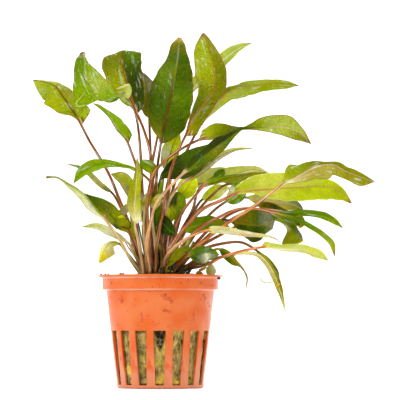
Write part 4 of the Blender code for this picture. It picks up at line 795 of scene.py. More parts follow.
        slot="leaf_olive", rib="cream", edge="olive", tip="mint", veins=0.7,
        paint=("straw cream olive olive brown_olive olive mint",
               "milk cream straw straw dry_olive olive pale"),
        foot=(7.4, -2), wide=5, lean=((-30, -40), (-10, -10)),
        reach=((0.5, 0.6, 0.8, 1.1, 1.4, 2.1, 1.8, 1, 0.3),
               (0.7, 0.9, 1.1, 1.5, 1.7, 1.7, 1.3, 0.7, 0.2)),
        stem=[(11.5, 54, -3.6), (15.5, 56, -5), (24.5, 57.5, -9)],
        blade=[(32, 59, -12), (37.5, 60, -14), (43.5, 59, -16), (47.5, 55.5, -18), (50.5, 50.5, -20),
            (53, 43.5, -22), (55.5, 34, -24)]),
    "leaf_arching_dark": dict(
        slot="leaf_dark", rib="olive", edge="olive", tip="moss", stalk="rust rust rust bark",
        paint=("olive moss deep olive", "moss olive leaf moss"),
        foot=(3.2, -2), wide=6, lean=((10, 10), (-30, -30)),
        reach=((0.4, 0.5, 0.7, 1.1, 1.4, 1.4, 0.9, 0.7, 0.2), (0.4, 0.8, 1, 1, 1, 1, 0.8, 0.5, 0.2)),
        stem=[(5.5, 55, -2.1), (12.5, 58.5, -2.6), (20, 62, -3.6), (27.5, 64, -5), (36, 64.5, -7),
            (40.5, 62.5, -9)],
        blade=[(44, 60, -10), (47.5, 57.5, -11), (50, 53.5, -12), (52, 49, -13), (53.5, 43.5, -14)]),
    "leaf_small_tail": dict(
        slot="leaf_middle", rib="leaf", edge="leaf", tip="grey_green", stalk="rust olive",
        paint=("leaf olive olive tan grey_green straw", "leaf leaf moss olive grey_green straw"),
        foot=(7.4, 2.1), wide=4.5, lean=((-20, -60), (-15, -60)),
        reach=((0.5, 2, 2.3, 1.9, 0.9, 0.6, 0.7, 0.6, 0.4),
               (0.9, 2.1, 2.2, 1.8, 0.8, 0.6, 0.5, 0.5, 0.4)),
        stem=[(16, 57, 3.5), (22, 60.5, 3)],
        blade=[(26.5, 61.5, 2), (29.5, 59, 1), (32.5, 56, 0), (35.5, 54, -1), (37.5, 51.5, -2),
            (38.5, 48.5, -3), (38, 44, -4)]),
    # The grey_green and milk in its right half are a painted highlight, the wet gloss patch on its lower
    # right.
    "leaf_dark_glossy_low": dict(
        slot="leaf_dark", rib="bottle", edge="leaf", tip="leaf", stalk="rust bark", veins=0.9,
        paint=("grass leaf leaf leaf moss", "leaf bottle grey_green milk grey_green leaf"),
        foot=(5.4, -6.1), wide=8.5, lean=((-15, -20), (0, -10)),
        reach=((0.9, 2.8, 3.7, 3.7, 3.3, 2.6, 2.1, 1.4, 0.2),
               (0.4, 2.2, 3.6, 4.5, 4.5, 3.8, 3.1, 2, 0.2)),
        stem=[(9, 55, -11.5)],
        blade=[(13, 58, -17), (16.5, 59, -20), (21, 60, -23), (26, 59, -26)]),
    "leaf_at_rim": dict(
        slot="leaf_lime", rib="pale", edge="lime_soft", tip="lime", veins=0.2,
        paint=("milk milk cream", "cream lime_soft cream"),
        foot=(8.5, 4.1), wide=4.8, middle=0.55, lean=((-10, -10), (-10, -10)),
        stem=[(15.5, 55, 5), (20, 56, 6)],
        blade=[(22.5, 55, 6), (22.5, 53, 6), (22.5, 51.5, 5.7), (22.5, 49.5, 5)]),
    "leaf_dark_middle_right": dict(
        slot="leaf_middle", rib="olive", edge="leaf", tip="olive", stalk="rust rust", veins=0.7,
        paint=("grass grass moss", "fresh grass leaf"),
        foot=(2, -4.1), wide=8, lean=((25, 30), (-20, -20)),
        reach=((0.5, 2.5, 3.7, 3.5, 3.3, 3, 2.5, 1.5, 0.2),
               (1.4, 3.1, 3.5, 3.5, 3.3, 2.8, 2.4, 1.4, 0.2)),
        stem=[(5, 61, -4.6), (8, 67, -5.4)],
        blade=[(10.5, 70, -6.2), (15.5, 72, -6.2), (21, 73.5, -6.2), (26.5, 72.5, -6),
            (31.5, 70.5, -5.5)]),
    "leaf_yellow_green_low": dict(
        slot="leaf_yellow", rib="moss", edge="olive", tip="leaf", stalk="gold gold", veins=0.5,
        paint=("olive lime_shade moss moss leaf", "spring spring olive moss leaf"),
        foot=(2, -8.2), wide=4.5, lean=((-10, -20), (-10, -20)),
        reach=((0.5, 1.1, 1.6, 2.1, 2.3, 2.3, 1.9, 1.2, 0.4),
               (0.7, 1.4, 1.8, 2.1, 2.1, 1.9, 1.4, 0.9, 0.4)),
        stem=[(2.5, 53, -8.6)],
        blade=[(3, 54, -9.2), (4.5, 56, -10.8), (7, 58.5, -12.5), (9.5, 60.5, -12.8), (12, 61.5, -13.3),
            (14, 61.5, -13.8)]),
    "leaf_olive_centre_left": dict(
        slot="leaf_olive", rib="tan", edge="brown_olive", tip="dry_olive", stalk="rust tan straw straw",
        veins=0.5,
        paint=("straw olive pale olive", "pale olive olive"),
        foot=(-6, -6.1), wide=4, lean=((-10, 0), (10, 10)),
        reach=((0.9, 1.8, 2.2, 2.5, 2.5, 2.2, 2, 1.6, 0.4),
               (0.9, 1.4, 1.8, 1.8, 1.8, 1.6, 1.4, 0.9, 0.5)),
        stem=[(-7, 65.5, -7)],
        blade=[(-7, 78.5, -8.3), (-6.5, 81.5, -8.4), (-5.5, 84.5, -8.4), (-5, 87, -8.3)]),
    "leaf_olive_centre_right": dict(
        slot="leaf_olive", rib="bronze", edge="brown_olive", tip="dry_olive",
        stalk="tan straw straw grey_green", veins=0.5,
        paint=("straw olive lime_soft pale", "pale pale olive"),
        foot=(-1.1, -6.1), wide=4.5, lean=((-10, 0), (10, 10)),
        reach=((0.9, 2.2, 2.9, 2.9, 2.7, 2.4, 2.2, 1.8, 0.4),
               (0.9, 1.4, 1.8, 2, 1.8, 1.8, 1.6, 1.4, 0.5)),
        stem=[(-2.5, 65.5, -7.3), (-3.5, 76.5, -8.3)],
        blade=[(-3, 79.5, -8.4), (-2, 81.5, -8.4), (-0.5, 84, -8.3), (0.5, 86, -8.2)]),
    "leaf_hidden_middle": dict(
        slot="leaf_middle", rib="bark", edge="leaf", tip="leaf", stalk="bark copper rust", veins=0.7,
        rib_wide=0.5,
        paint=("leaf grass leaf", "leaf grass leaf"),
        foot=(-3.3, 2.1), wide=5, middle=0.5, lean=((-10, -10), (-10, -10)),
        stem=[(-3.5, 65.5, 4), (-4, 83.5, 5.5), (-4, 97.5, 5.5), (-2.5, 106, 5.5)],
        blade=[(-1, 113, 5.5), (0.5, 118, 6.5), (2, 123.5, 8), (3.5, 129, 10)]),
}
print("leaves:", len(LEAVES))

# %% Routes
CROWN_MIDDLE = np.array((0.3, -1.5, 49.4)) * MM
CROWN_HALF = np.array((11.6, 10.6, 2.6)) * MM
STALK_FOOT = 0.85 * MM
STALK_NECK = 0.55 * MM
FOOT_SUNK = 0.9 * MM
TIP_POINT = 0.75


def in_space(point):
    """Carry a point read on the middle plane along its sight line to its own depth."""
    across, up, depth = np.array(point) * MM
    flat = np.array((across, 0, up))
    return EYE + (flat - EYE) * (1 - depth / EYE[1])


def crown_height(x, y):
    """Height of the crown, a flattened ball: its half height times the root of 1 - out squared."""
    out = math.hypot((x - CROWN_MIDDLE[0]) / CROWN_HALF[0], (y - CROWN_MIDDLE[1]) / CROWN_HALF[1])
    nearer = max(out - 2 * STALK_FOOT / CROWN_HALF[1], 0)
    return CROWN_MIDDLE[2] + CROWN_HALF[2] * math.sqrt(max(1 - nearer**2, 0))


def through(points):
    """A smooth route through given points: cubic pieces, measured along the chords between them."""
    steps = np.linalg.norm(np.diff(points, axis=0), axis=1)
    knots = np.concatenate(([0], np.cumsum(steps)))
    slopes = np.gradient(points, knots, axis=0)

    def at(along):
        piece = np.clip(np.searchsorted(knots, along, side="right") - 1, 0, len(knots) - 2)
        span = (knots[piece + 1] - knots[piece])[:, None]
        u = (along - knots[piece])[:, None] / span
        start = (1 + 2 * u) * (1 - u) ** 2 * points[piece] + u * (1 - u) ** 2 * span * slopes[piece]
        end = u**2 * (3 - 2 * u) * points[piece + 1] + u**2 * (u - 1) * span * slopes[piece + 1]
        return start + end

    return knots, at


def frames(at, along, across):
    """The route's points, the way the blade spreads to its right, and the way its face looks.

    The spread lies square to the route as the eye in front sees it, unless the leaf fixes it.
    """
    step = 0.2 * MM
    ahead = at(along + step) - at(along - step)
    ahead /= np.linalg.norm(ahead, axis=1)[:, None]
    if across is None:
        spread = np.stack((ahead[:, 2], np.zeros(len(along)), -ahead[:, 0]), axis=1)
    else:
        spread = np.array(across) - (ahead @ np.array(across))[:, None] * ahead
    spread /= np.linalg.norm(spread, axis=1)[:, None]
    return at(along), spread, np.cross(spread, ahead)


def half_width(t, wide, middle):
    """Half the blade's width at t: a power of t up to the middle, then a power of what is left."""
    base = (t / middle) ** (TIP_POINT * middle / (1 - middle))
    tip = ((1 - t) / (1 - middle)) ** TIP_POINT
    return wide / 2 * MM * base * tip


def half_widths(leaf, t):
    """How far the blade reaches to its left and to its right at t."""
    if "reach" in leaf:
        return [eased(side, t) * MM for side in leaf["reach"]]
    return [half_width(t, leaf["wide"], leaf["middle"])] * 2


def eased(values, t):
    """A smooth curve through values that stand at even steps from the blade's base to its tip."""
    values = np.array(values, dtype=float)
    slopes = np.gradient(values)
    place = t * (len(values) - 1)
    piece = np.minimum(place.astype(int), len(values) - 2)
    u = place - piece
    start = (1 + 2 * u) * (1 - u) ** 2 * values[piece] + u * (1 - u) ** 2 * slopes[piece]
    return start + u**2 * (3 - 2 * u) * values[piece + 1] + u**2 * (u - 1) * slopes[piece + 1]


print("crown top in mm:", round(crown_height(0, 0) / MM, 1))

# %% [markdown]
# ### From route to leaf
# The leaf's middle surface is a function of two numbers: t along the route and u across it, from -1 at
# the left edge to 1 at the right. Each half leans by its own angle, the midrib rounds the fold between
# them, and the edge waves more the further out it is, as it does on a leaf whose margin grew longer
# than its middle. A thickness along the surface's normal then makes it solid: a circle on the stalk, a
# thin lens on the blade, with the midrib standing out on the back and sunk in front.

# %% The leaf surface
HALF_COLUMNS = np.array((0.04, 0.09, 0.18, 0.3, 0.44, 0.58, 0.72, 0.84, 0.93, 0.975, 1.0))
COLUMNS = np.concatenate((-HALF_COLUMNS[::-1], (0.0,), HALF_COLUMNS))
STALK_ROWS = 30
BLADE_ROWS = 84
BLADE_THICK = 0.16 * MM
FOLD_ROUND = 0.14
WAVE = 0.06
WAVE_LONG = 10.5 * MM
PUFF = 0.10 * MM
SCALLOP = 0.018
BLADE_START = 0.12
EDGE_LEAST = 0.12 * MM
RIB_WIDE = 0.45 * MM
GROOVE_WIDE = 0.4 * MM
GROOVE_DEEP = 0.1 * MM


def mixed(tones, t):
    """The colour at each t of a list of tones that follow each other evenly, in linear light."""
    picked = np.array([TONE[name] for name in tones.split()])
    keys = np.linspace(0, 1, len(picked))
    return np.stack([np.interp(t, keys, picked[:, i]) for i in range(4)], axis=-1)


def leaf_shape(leaf, dice):
    """Rows of points round the leaf from foot to tip, with t, u and the distances along and across."""
    foot_x, foot_y = np.array(leaf["foot"]) * MM
    foot = np.array((foot_x, foot_y, crown_height(foot_x, foot_y) - FOOT_SUNK))
    route = np.array([foot] + [in_space(point) for point in leaf["stem"] + leaf["blade"]])
    knots, at = through(route)
    neck = knots[1 + len(leaf["stem"])]
    blade_long = knots[-1] - neck
    t = np.concatenate((np.full(STALK_ROWS, -1.0), (np.arange(BLADE_ROWS) / (BLADE_ROWS - 1)) ** 1.1))
    stalk_along = neck * np.arange(STALK_ROWS) / STALK_ROWS
    along = np.concatenate((stalk_along, neck + blade_long * t[STALK_ROWS:]))
    centre, spread, face = frames(at, along, leaf["across"])

    on_blade = np.clip(t, 0, 1)
    ease = np.clip(on_blade / BLADE_START, 0, 1)
    flat = ease * ease * (3 - 2 * ease)
    stalk = STALK_FOOT + (STALK_NECK - STALK_FOOT) * np.clip(along / neck, 0, 1)
    stalk = stalk * leaf["stalk_wide"]
    scallop = 1 + SCALLOP * np.sin(2 * np.pi * along / (0.6 * WAVE_LONG) + dice.uniform(0, 6.28)) * flat
    halves = [np.maximum(side * scallop, stalk * (1 - on_blade)) for side in half_widths(leaf, on_blade)]
    halves = [np.where(t < 0, stalk, np.maximum(side, EDGE_LEAST)) for side in halves]

    u = COLUMNS[None, :]
    half = np.where(u < 0, halves[0][:, None], halves[1][:, None])
    size = np.abs(u)
    keys = np.linspace(0, 1, len(leaf["lean"][0]))
    lean_left, lean_right = (np.radians(np.interp(on_blade, keys, side)) * flat for side in leaf["lean"])
    lean = np.where(u < 0, lean_left[:, None], lean_right[:, None])
    bowl = (np.sqrt(size**2 + FOLD_ROUND**2) - FOLD_ROUND) / (math.sqrt(1 + FOLD_ROUND**2) - FOLD_ROUND)
    sideways = np.sign(u) * np.cos(lean) * size * half
    rise = np.sin(lean) * bowl * half
    middle = centre[:, None, :] + spread[:, None, :] * sideways[..., None]
    middle = middle + face[:, None, :] * rise[..., None]

    turn = dice.uniform(0, 2 * np.pi, 4)
    long_wave = WAVE_LONG * (0.7 + 0.3 * leaf["wide"] / 16)
    run = along[:, None] / long_wave * 2 * np.pi
    left_wave = np.sin(run + turn[0]) + 0.5 * np.sin(1.9 * run + turn[1])
    right_wave = np.sin(1.07 * run + turn[2]) + 0.5 * np.sin(1.8 * run + turn[3])
    fade = flat * np.sqrt(np.clip(1 - on_blade, 0, 1))
    wave = WAVE * half * size**2.4 * np.where(u < 0, left_wave, right_wave) * fade[:, None]
    veins = (along[:, None] / MM - VEIN_RAKE * size * half / MM) / VEIN_APART * 2 * np.pi
    puff = PUFF * np.cos(veins) * flat[:, None] * np.sin(np.pi * size)
    normal = np.cross(np.gradient(middle, axis=1), np.gradient(middle, axis=0))
    normal /= np.maximum(np.linalg.norm(normal, axis=2), 1e-12)[..., None]
    middle = middle + normal * (wave + puff)[..., None]

    lens = np.sqrt(1 - size**2)
    thick = (stalk[:, None] * (1 - flat[:, None]) + BLADE_THICK * flat[:, None]) * lens
    rib_high = np.maximum(stalk * (1 - 0.85 * on_blade) - BLADE_THICK, 0) * flat
    rib = rib_high[:, None] * np.exp(-((u * half / RIB_WIDE) ** 2))
    groove = GROOVE_DEEP * flat[:, None] * np.exp(-((u * half / GROOVE_WIDE) ** 2))
    front = middle + normal * (thick - groove)[..., None]
    back = middle - normal * (thick + rib)[..., None]
    rings = np.concatenate((front, back[:, -2:0:-1]), axis=1)
    u_round = np.concatenate((COLUMNS, COLUMNS[-2:0:-1]))
    out = u_round[None, :] * np.where(u_round < 0, halves[0][:, None], halves[1][:, None])
    return rings, t, u_round, along, neck, out, flat


def leaf_tint(leaf, t, along, neck, out):
    """Colours round each row: stalk tones, then the tones of the two halves, with the leaf's tip."""
    on_blade = np.clip(t, 0, 1)[:, None]
    left, right = (mixed(side, on_blade[:, 0])[:, None, :] for side in leaf["paint"])
    halves = 1 / (1 + np.exp(-np.clip(out / (0.22 * MM), -30, 30)))[..., None]
    blade = left * (1 - halves) + right * halves
    tip = np.clip((on_blade - 0.94) / 0.05, 0, 1)[..., None]
    blade = blade * (1 - tip) + TONE[leaf["tip"]] * tip
    stalk = mixed(leaf["stalk"], np.clip(along / neck, 0, 1))[:, None, :]
    beside = np.clip((np.abs(out) - STALK_NECK) / (0.5 * MM), 0, 1)
    share = np.maximum(np.clip(on_blade / 0.05, 0, 1), beside)[..., None]
    share = np.where(t[:, None, None] < 0, 0.0, share)
    return stalk * (1 - share) + blade * share


def leaf_marks(leaf, t, u, along, out, flat):
    """What the tissue needs to know at each point, in mm: lay and rim, as leaf_tissue reads them."""
    on_blade = np.clip(t, 0, 1)[:, None]
    shape = out.shape
    strength = np.broadcast_to(flat[:, None] * leaf["veins"], shape)
    lay = np.stack((out / MM, np.broadcast_to(along[:, None] / MM, shape), strength), axis=-1)
    inset = np.abs(out) * (1 / np.maximum(np.abs(u[None, :]), 0.04) - 1) / MM
    reach = np.abs(out[:, [0, len(COLUMNS) - 1]]).max(axis=1)[:, None]
    inset = inset + np.clip(2 - reach / MM, 0, 1)
    rib_wide = leaf["rib_wide"] * (1 - 0.6 * on_blade)
    rib_share = np.clip(flat[:, None] * 1.3, 0, 1) * (1 - 0.45 * on_blade)
    rim = np.stack((inset, np.broadcast_to(rib_wide, shape), np.broadcast_to(rib_share, shape)), axis=-1)
    return {"lay": lay, "rim": rim}


# %% Grow every leaf
def grow(name, leaf, number):
    """One closed leaf: round rows from the foot to the tip, with a flat end at each."""
    dice = np.random.default_rng(100 + number)
    rings, t, u, along, neck, out, flat = leaf_shape(leaf, dice)
    tint = leaf_tint(leaf, t, along, neck, out)
    colours = {"tint": tint}
    for label in ("rib", "edge"):
        colours[label + "_tint"] = even_tint(mixed(leaf[label], np.clip(t, 0, 1)), tint.shape[:2])
    marks = leaf_marks(leaf, t, u, along, out, flat)
    fine_name, faces = name.replace("leaf_", "fine_leaf_"), tube_faces(*rings.shape[:2])
    piece = new_piece(fine_name, rings, faces, TISSUES[leaf["slot"]], colours=colours, vectors=marks)
    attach(piece, "root")
    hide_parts(name)
    return piece


leaves = [grow(name, PLAIN | leaf, number) for number, (name, leaf) in enumerate(LEAVES.items())]
print("leaf faces:", sum(len(piece.data.polygons) for piece in leaves))

# %% [markdown]
# ## The net pot
# The pot is injection-moulded polypropylene with a satin skin. That skin is one grid here: a
# profile of radius and height turned round the axis, with sixteen columns of quads left out for the
# slots. Columns slide with height, so that every slot tapers. Solidify gives the wall its thickness
# inwards and Bevel breaks the sharp edges that catch the light.

# %% Pot skin
SECTORS = 16
SLOT_TOP = 25.4 * MM
SLOT_FOOT = 1.5 * MM
SLOT_TOP_WIDE = 5.5 * MM
SLOT_FOOT_WIDE = 3.7 * MM
DRAIN_INNER = 6 * MM
DRAIN_OUTER = 13.5 * MM
DRAIN_WIDE = 2.2 * MM
POT_WALL = 0.95 * MM
SLOT_COLUMNS = 4
BAR_COLUMNS = 8
POT_PROFILE = np.array([
    (0.6, 0.02), (3.0, 0.02), (6.0, 0.02), (8.5, 0.02), (11.0, 0.02), (13.5, 0.02), (16.0, 0.02),
    (17.6, 0.02), (18.6, 0.1), (19.05, 0.4), (19.25, 0.9), (19.35, 1.5), (19.6, 4.0), (20.0, 7.5),
    (20.4, 11.0), (20.8, 14.5), (21.2, 18.0), (21.6, 21.5), (21.9, 24.4), (22.0, 25.4), (22.1, 26.0),
    (22.4, 29.0), (22.8, 33.0), (23.3, 37.5), (23.75, 41.5), (23.95, 43.0), (24.2, 43.4),
    (25.2, 43.45), (25.6, 43.6), (25.7, 44.0), (25.7, 46.0), (25.7, 48.2), (25.8, 48.75),
    (26.2, 48.95), (27.2, 49.0), (27.45, 49.15), (27.5, 49.5), (27.4, 49.95),
]) * MM


def pot_skin():
    """Turn POT_PROFILE. In each sector the columns split at the slot's edge, which moves with height."""
    radius, height = POT_PROFILE[:, 0], POT_PROFILE[:, 1]
    share = np.clip((height - SLOT_FOOT) / (SLOT_TOP - SLOT_FOOT), 0, 1)
    wide = SLOT_FOOT_WIDE + share * (SLOT_TOP_WIDE - SLOT_FOOT_WIDE)
    wide = np.where((height < MM) & (radius < 17 * MM), DRAIN_WIDE, wide)
    edge = np.arcsin(np.clip(wide / 2 / np.maximum(radius, 5 * MM), 0, 0.95))
    edge = np.minimum(edge, 0.8 * np.pi / SECTORS)
    slot = np.linspace(-1, 1, SLOT_COLUMNS + 1)[:-1]
    bar = np.linspace(0, 1, BAR_COLUMNS + 1)[:-1]
    gap = 2 * np.pi / SECTORS
    inside = slot[None, :] * edge[:, None]
    beside = edge[:, None] + bar[None, :] * (gap - 2 * edge[:, None])
    sector = np.concatenate((inside, beside), axis=1)
    turn = np.concatenate([sector + k * gap for k in range(SECTORS)], axis=1) - math.pi / 2
    points = round_axis(radius[:, None], turn, height[:, None])
    middle_height = (height[1:] + height[:-1]) / 2
    middle_radius = (radius[1:] + radius[:-1]) / 2
    column = np.arange(turn.shape[1])
    in_slot = column % (SLOT_COLUMNS + BAR_COLUMNS) < SLOT_COLUMNS
    even = (column // (SLOT_COLUMNS + BAR_COLUMNS)) % 2 == 0
    slot_row = (middle_height > SLOT_FOOT) & (middle_height < SLOT_TOP)
    drain_row = (middle_height < 0.05 * MM) & (middle_radius > DRAIN_INNER) & (middle_radius < DRAIN_OUTER)
    gone = slot_row[:, None] & in_slot[None, :] | drain_row[:, None] & (in_slot & even)[None, :]
    faces = grid_faces(*turn.shape, round_columns=True)
    return points, faces[~gone.ravel()]


# %% Orange polypropylene
orange, tree, shader = new_material(
    "moulded orange polypropylene", Roughness=0.36, Specular_IOR_Level=0.2, Coat_Roughness=0.06
)
at = object_place(tree)
height = parts_of(tree, at)[2]
haze = noise(tree, at, 9 * MM, 3.0)
runs = noise(tree, stretched(tree, at, (1.0, 1.0, 0.12)), 2.6 * MM, 3.0)
smears = noise(tree, stretched(tree, at, (1.0, 1.0, 0.3)), 3.2 * MM, 3.0)
low = step(tree, sum_of(tree, "MULTIPLY_ADD", haze, 12 * MM, height), 24 * MM, 14 * MM, 0.0, 1.0)
dry = two_tones(tree, haze, 0.4, 0.62, "#C45616", "#C46224")
plain = blend(tree, low, dry, linear("#C97A54"))
wet = step(tree, runs, 0.54, 0.66, 0.0, 0.3)
under = step(tree, height, 25 * MM, 19 * MM)
belly = product(tree, under, step(tree, height, 6 * MM, 10 * MM, 0.1, 1.0))
dark_low = product(tree, step(tree, smears, 0.46, 0.54), belly)
soaked = blend(tree, sum_of(tree, "MAXIMUM", wet, dark_low), plain, linear("#C64C06"))
# Painted highlights: pale pinkish lines just under the lip and at the foot of the band, where those edges
# catch the light.
lip_line = sum_of(tree, "COMPARE", height, 48.6 * MM, 0.35 * MM)
band_line = sum_of(tree, "COMPARE", height, 43.35 * MM, 0.3 * MM)
edges = sum_of(tree, "MAXIMUM", lip_line, band_line)
painted_edge_highlight = product(tree, edges, step(tree, haze, 0.35, 0.6, 0.35, 0.9))
edged = blend(tree, painted_edge_highlight, soaked, linear("#D8A088"))
gloss = step(tree, haze, 0.4, 0.6, 0.0, 0.35)
skin = add(tree, "Bump", {"Height": noise(tree, at, 0.8 * MM), "Strength": 0.15, "Distance": 0.05 * MM})
feed(tree, shader, Base_Color=edged, Coat_Weight=gloss, Normal=skin.outputs[0])

pot_points, pot_faces = pot_skin()
pot = new_piece("net_pot", pot_points, pot_faces, orange)
wall = pot.modifiers.new("wall", "SOLIDIFY")
wall.thickness = POT_WALL
wall.offset = -1
soft = pot.modifiers.new("edges", "BEVEL")
soft.width = 0.18 * MM
soft.segments = 2
soft.limit_method = "ANGLE"
soft.angle_limit = math.radians(40)
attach(pot, "root")
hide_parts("pot")
print("pot quads:", len(pot_faces))

# %% [markdown]
# ## The rock-wool plug
# Rock wool is spun mineral fibre. Wet and overgrown it is a felt of olive, straw and grey-brown, with
# loose threads standing off it. The felt is a turned grid whose radius is roughened by a sum of sines,
# and the threads are several hundred thin tubes that lie along it behind the slots.


# %% Wool felt
def ripples(points, sizes, dice):
    """A rough height at each point: for every size, a product of sines that cross at random angles."""
    total = np.zeros(points.shape[:-1])
    for size in sizes:
        for _ in range(4):
            way = dice.normal(size=3)
            way /= np.linalg.norm(way)
            total += size * np.sin(points @ way * 2 * np.pi / (size * 14) + dice.uniform(0, 6.28)) / 4
    return total


felt, tree, shader = new_material("wet mineral wool felt", Roughness=0.8, Specular_IOR_Level=0.15)
at = object_place(tree)
height = parts_of(tree, at)[2]
clumps = noise(tree, at, 4.5 * MM, 4.0)
fibre = noise(tree, stretched(tree, at, (1, 1, 0.3), (0.4, 0.3, 0.2)), 0.8 * MM, 4.0)
ground = two_tones(tree, clumps, 0.4, 0.58, "#2C2006", "#A8924A")
straw = two_tones(tree, fibre, 0.36, 0.62, "#3A2C12", "#CCB068")
wool = blend(tree, 0.5, ground, straw)
patches = step(tree, noise(tree, at, 6 * MM, 3.0), 0.5, 0.56)
algae = product(tree, patches, step(tree, height, 20 * MM, 9 * MM))
grown = blend(tree, product(tree, algae, 0.7), wool, linear("#C6AE34"))
# The tint carries the painted shade of the dips and the hollow.
shaded = blend(tree, 1.0, grown, carried(tree, "tint"), "MULTIPLY")
nap = add(tree, "Bump", {"Height": fibre, "Strength": 0.9, "Distance": 0.5 * MM})
feed(tree, shader, Base_Color=shaded, Normal=nap.outputs[0])

MOUND = np.array((15, 10)) * MM
MOUND_RISE = 2.6 * MM
MOUND_RADIUS = 5.5 * MM
PLUG_ROWS = 110
PLUG_COLUMNS = 240
PLUG_SIDE = np.array([
    (0.3, 1.6), (6, 1.6), (12, 1.6), (16.5, 1.6), (17.9, 2.0), (18.15, 3.0), (18.5, 6.0), (18.9, 10.0),
    (19.3, 14.0), (19.75, 18.0), (20.2, 22.0), (20.6, 26.0), (21.2, 32.0), (21.9, 38.0), (22.5, 42.0),
    (22.3, 44.5), (21.6, 46.6), (19.0, 47.9), (15.4, 48.5), (11.3, 48.6), (6.3, 48.6), (0.3, 48.6),
]) * MM


def plug_points(dice):
    """Turn the plug's profile, refined along its length, roughen it, raise the mound and sink a hollow.

    The hollow is the dark gap behind the front slots. The tint is painted shade, darker in the
    dips of the roughness and in the hollow, and it is paler at the right.
    """
    rows = np.linspace(0, len(PLUG_SIDE) - 1, PLUG_ROWS)
    radius = np.interp(rows, np.arange(len(PLUG_SIDE)), PLUG_SIDE[:, 0])
    height = np.interp(rows, np.arange(len(PLUG_SIDE)), PLUG_SIDE[:, 1])
    turn = np.linspace(0, 2 * np.pi, PLUG_COLUMNS, endpoint=False)
    points = round_axis(radius[:, None], turn, height[:, None])
    rough = ripples(points, (0.5 * MM, 0.25 * MM, 0.12 * MM), dice)
    outward = points[..., :2] / np.maximum(np.linalg.norm(points[..., :2], axis=2), 1e-9)[..., None]
    side = np.clip((48 * MM - points[..., 2]) / (4 * MM), 0, 1)
    inward = np.minimum(rough * 1.2 - 0.25 * MM, 0.3 * MM) * side
    points[..., :2] += outward * inward[..., None] * (radius[:, None] > 10 * MM)[..., None]
    away = np.linalg.norm(points[..., :2] - MOUND, axis=2)
    on_top = (points[..., 2] > 46.9 * MM) * np.exp(-((away / MOUND_RADIUS) ** 2))
    points[..., 2] += MOUND_RISE * on_top + np.where(points[..., 2] > 46 * MM, rough * 0.8, 0)
    # The hollow lies in front from 16 to about 30 mm up, and is wider at its top.
    rise = (points[..., 2] / MM - 16) / 9
    hollow = np.clip(rise * 2.6 - np.abs(points[..., 0] / MM - 0.4) + 0.6, 0, 1) * (rise > 0) * (rise < 1.6)
    hollow = hollow * (points[..., 1] < 0)
    points[..., :2] -= outward * (hollow * 2.4 * MM)[..., None]
    # Painted shade: the tint darkens in the dips of the roughness, and more in the hollow.
    shade = np.clip(1 + rough / (0.35 * MM) * 0.35, 0.45, 1.15) * (1 - 0.8 * hollow)
    paler = np.clip(points[..., 0] / (6 * MM) - 0.8, 0, 1) * np.clip(-points[..., 1] / (6 * MM), 0, 1)
    shade = shade * (1 + 0.3 * paler)
    tint = np.stack((shade, shade, shade * 0.95, np.ones_like(shade)), axis=-1)
    return points, tint


wool_dice = np.random.default_rng(7)
plug_grid, plug_tint = plug_points(wool_dice)
plug_faces = tube_faces(*plug_grid.shape[:2])
plug = new_piece("wool_plug", plug_grid, plug_faces, felt, colours={"tint": plug_tint})
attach(plug, "root")
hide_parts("plug")
print("plug faces:", len(plug_faces))


# %% Strands: thin tubes on many short paths at once
def strands(paths, radius, sides=4, even=False):
    """Tubes round many paths: paths is (strand, point, 3). Each ring is a circle square to its path.

    Unless even is set, a tube thins to a quarter of its radius over the last fifth at both ends.
    """
    ahead = np.gradient(paths, axis=1)
    ahead /= np.maximum(np.linalg.norm(ahead, axis=2), 1e-12)[..., None]
    aside = np.cross(ahead, np.array((0.31, 0.22, 0.92)))
    aside /= np.maximum(np.linalg.norm(aside, axis=2), 1e-12)[..., None]
    third = np.cross(ahead, aside)
    turn = np.linspace(0, 2 * np.pi, sides, endpoint=False)
    run = np.linspace(0, 1, paths.shape[1])
    taper = np.ones(paths.shape[1]) if even else np.minimum(1, 4 * np.minimum(run, run[::-1]) + 0.25)
    reach = np.broadcast_to(np.asarray(radius).reshape(-1, 1), paths.shape[:2]) * taper[None, :]
    circle = aside[:, :, None, :] * np.cos(turn)[None, None, :, None]
    circle = circle + third[:, :, None, :] * np.sin(turn)[None, None, :, None]
    points = paths[:, :, None, :] + circle * reach[:, :, None, None]
    return points, tube_faces(paths.shape[1], sides, len(paths))


def loose_threads(count, dice):
    """Short bent paths that lie on the plug's side, each drifting a few millimetres round and up."""
    steps = np.linspace(0, 1, 7)
    turn = dice.uniform(0, 2 * np.pi, count)[:, None] + dice.normal(0, 0.16, count)[:, None] * steps
    height = (dice.uniform(2.5, 25, count)[:, None] + dice.normal(0, 3.2, count)[:, None] * steps) * MM
    height = np.clip(height, 2 * MM, 26 * MM)
    turn = turn + 0.03 * np.sin(steps * 5 + dice.uniform(0, 6, count)[:, None])
    radius = (17.95 * MM + 0.108 * height) + dice.uniform(-0.15, 0.25, count)[:, None] * MM
    return round_axis(radius, turn, height)


THREADS = 700
fibre_mat, tree, shader = new_material("loose mineral fibre", Roughness=0.5, Specular_IOR_Level=0.4)
clouds = noise(tree, object_place(tree), 3 * MM)
feed(tree, shader, Base_Color=two_tones(tree, clouds, 0.4, 0.6, "#5C5230", "#B8AE74"))
thread_dice = np.random.default_rng(11)
thread_paths = loose_threads(THREADS, thread_dice)
thread_points, thread_faces = strands(thread_paths, thread_dice.uniform(0.05, 0.1, THREADS) * MM)
threads_piece = new_piece("wool_threads", thread_points, thread_faces, fibre_mat)
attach(threads_piece, "root")
print("threads:", len(thread_paths))

# %% [markdown]
# ## The crown
# Where the stalks meet, a cryptocoryne is a knot of short rootstocks, wet roots and the brown feet of
# leaves that have gone. The knot is a flattened ball with a rough skin, and the old feet and roots are
# short strands pushed into it.

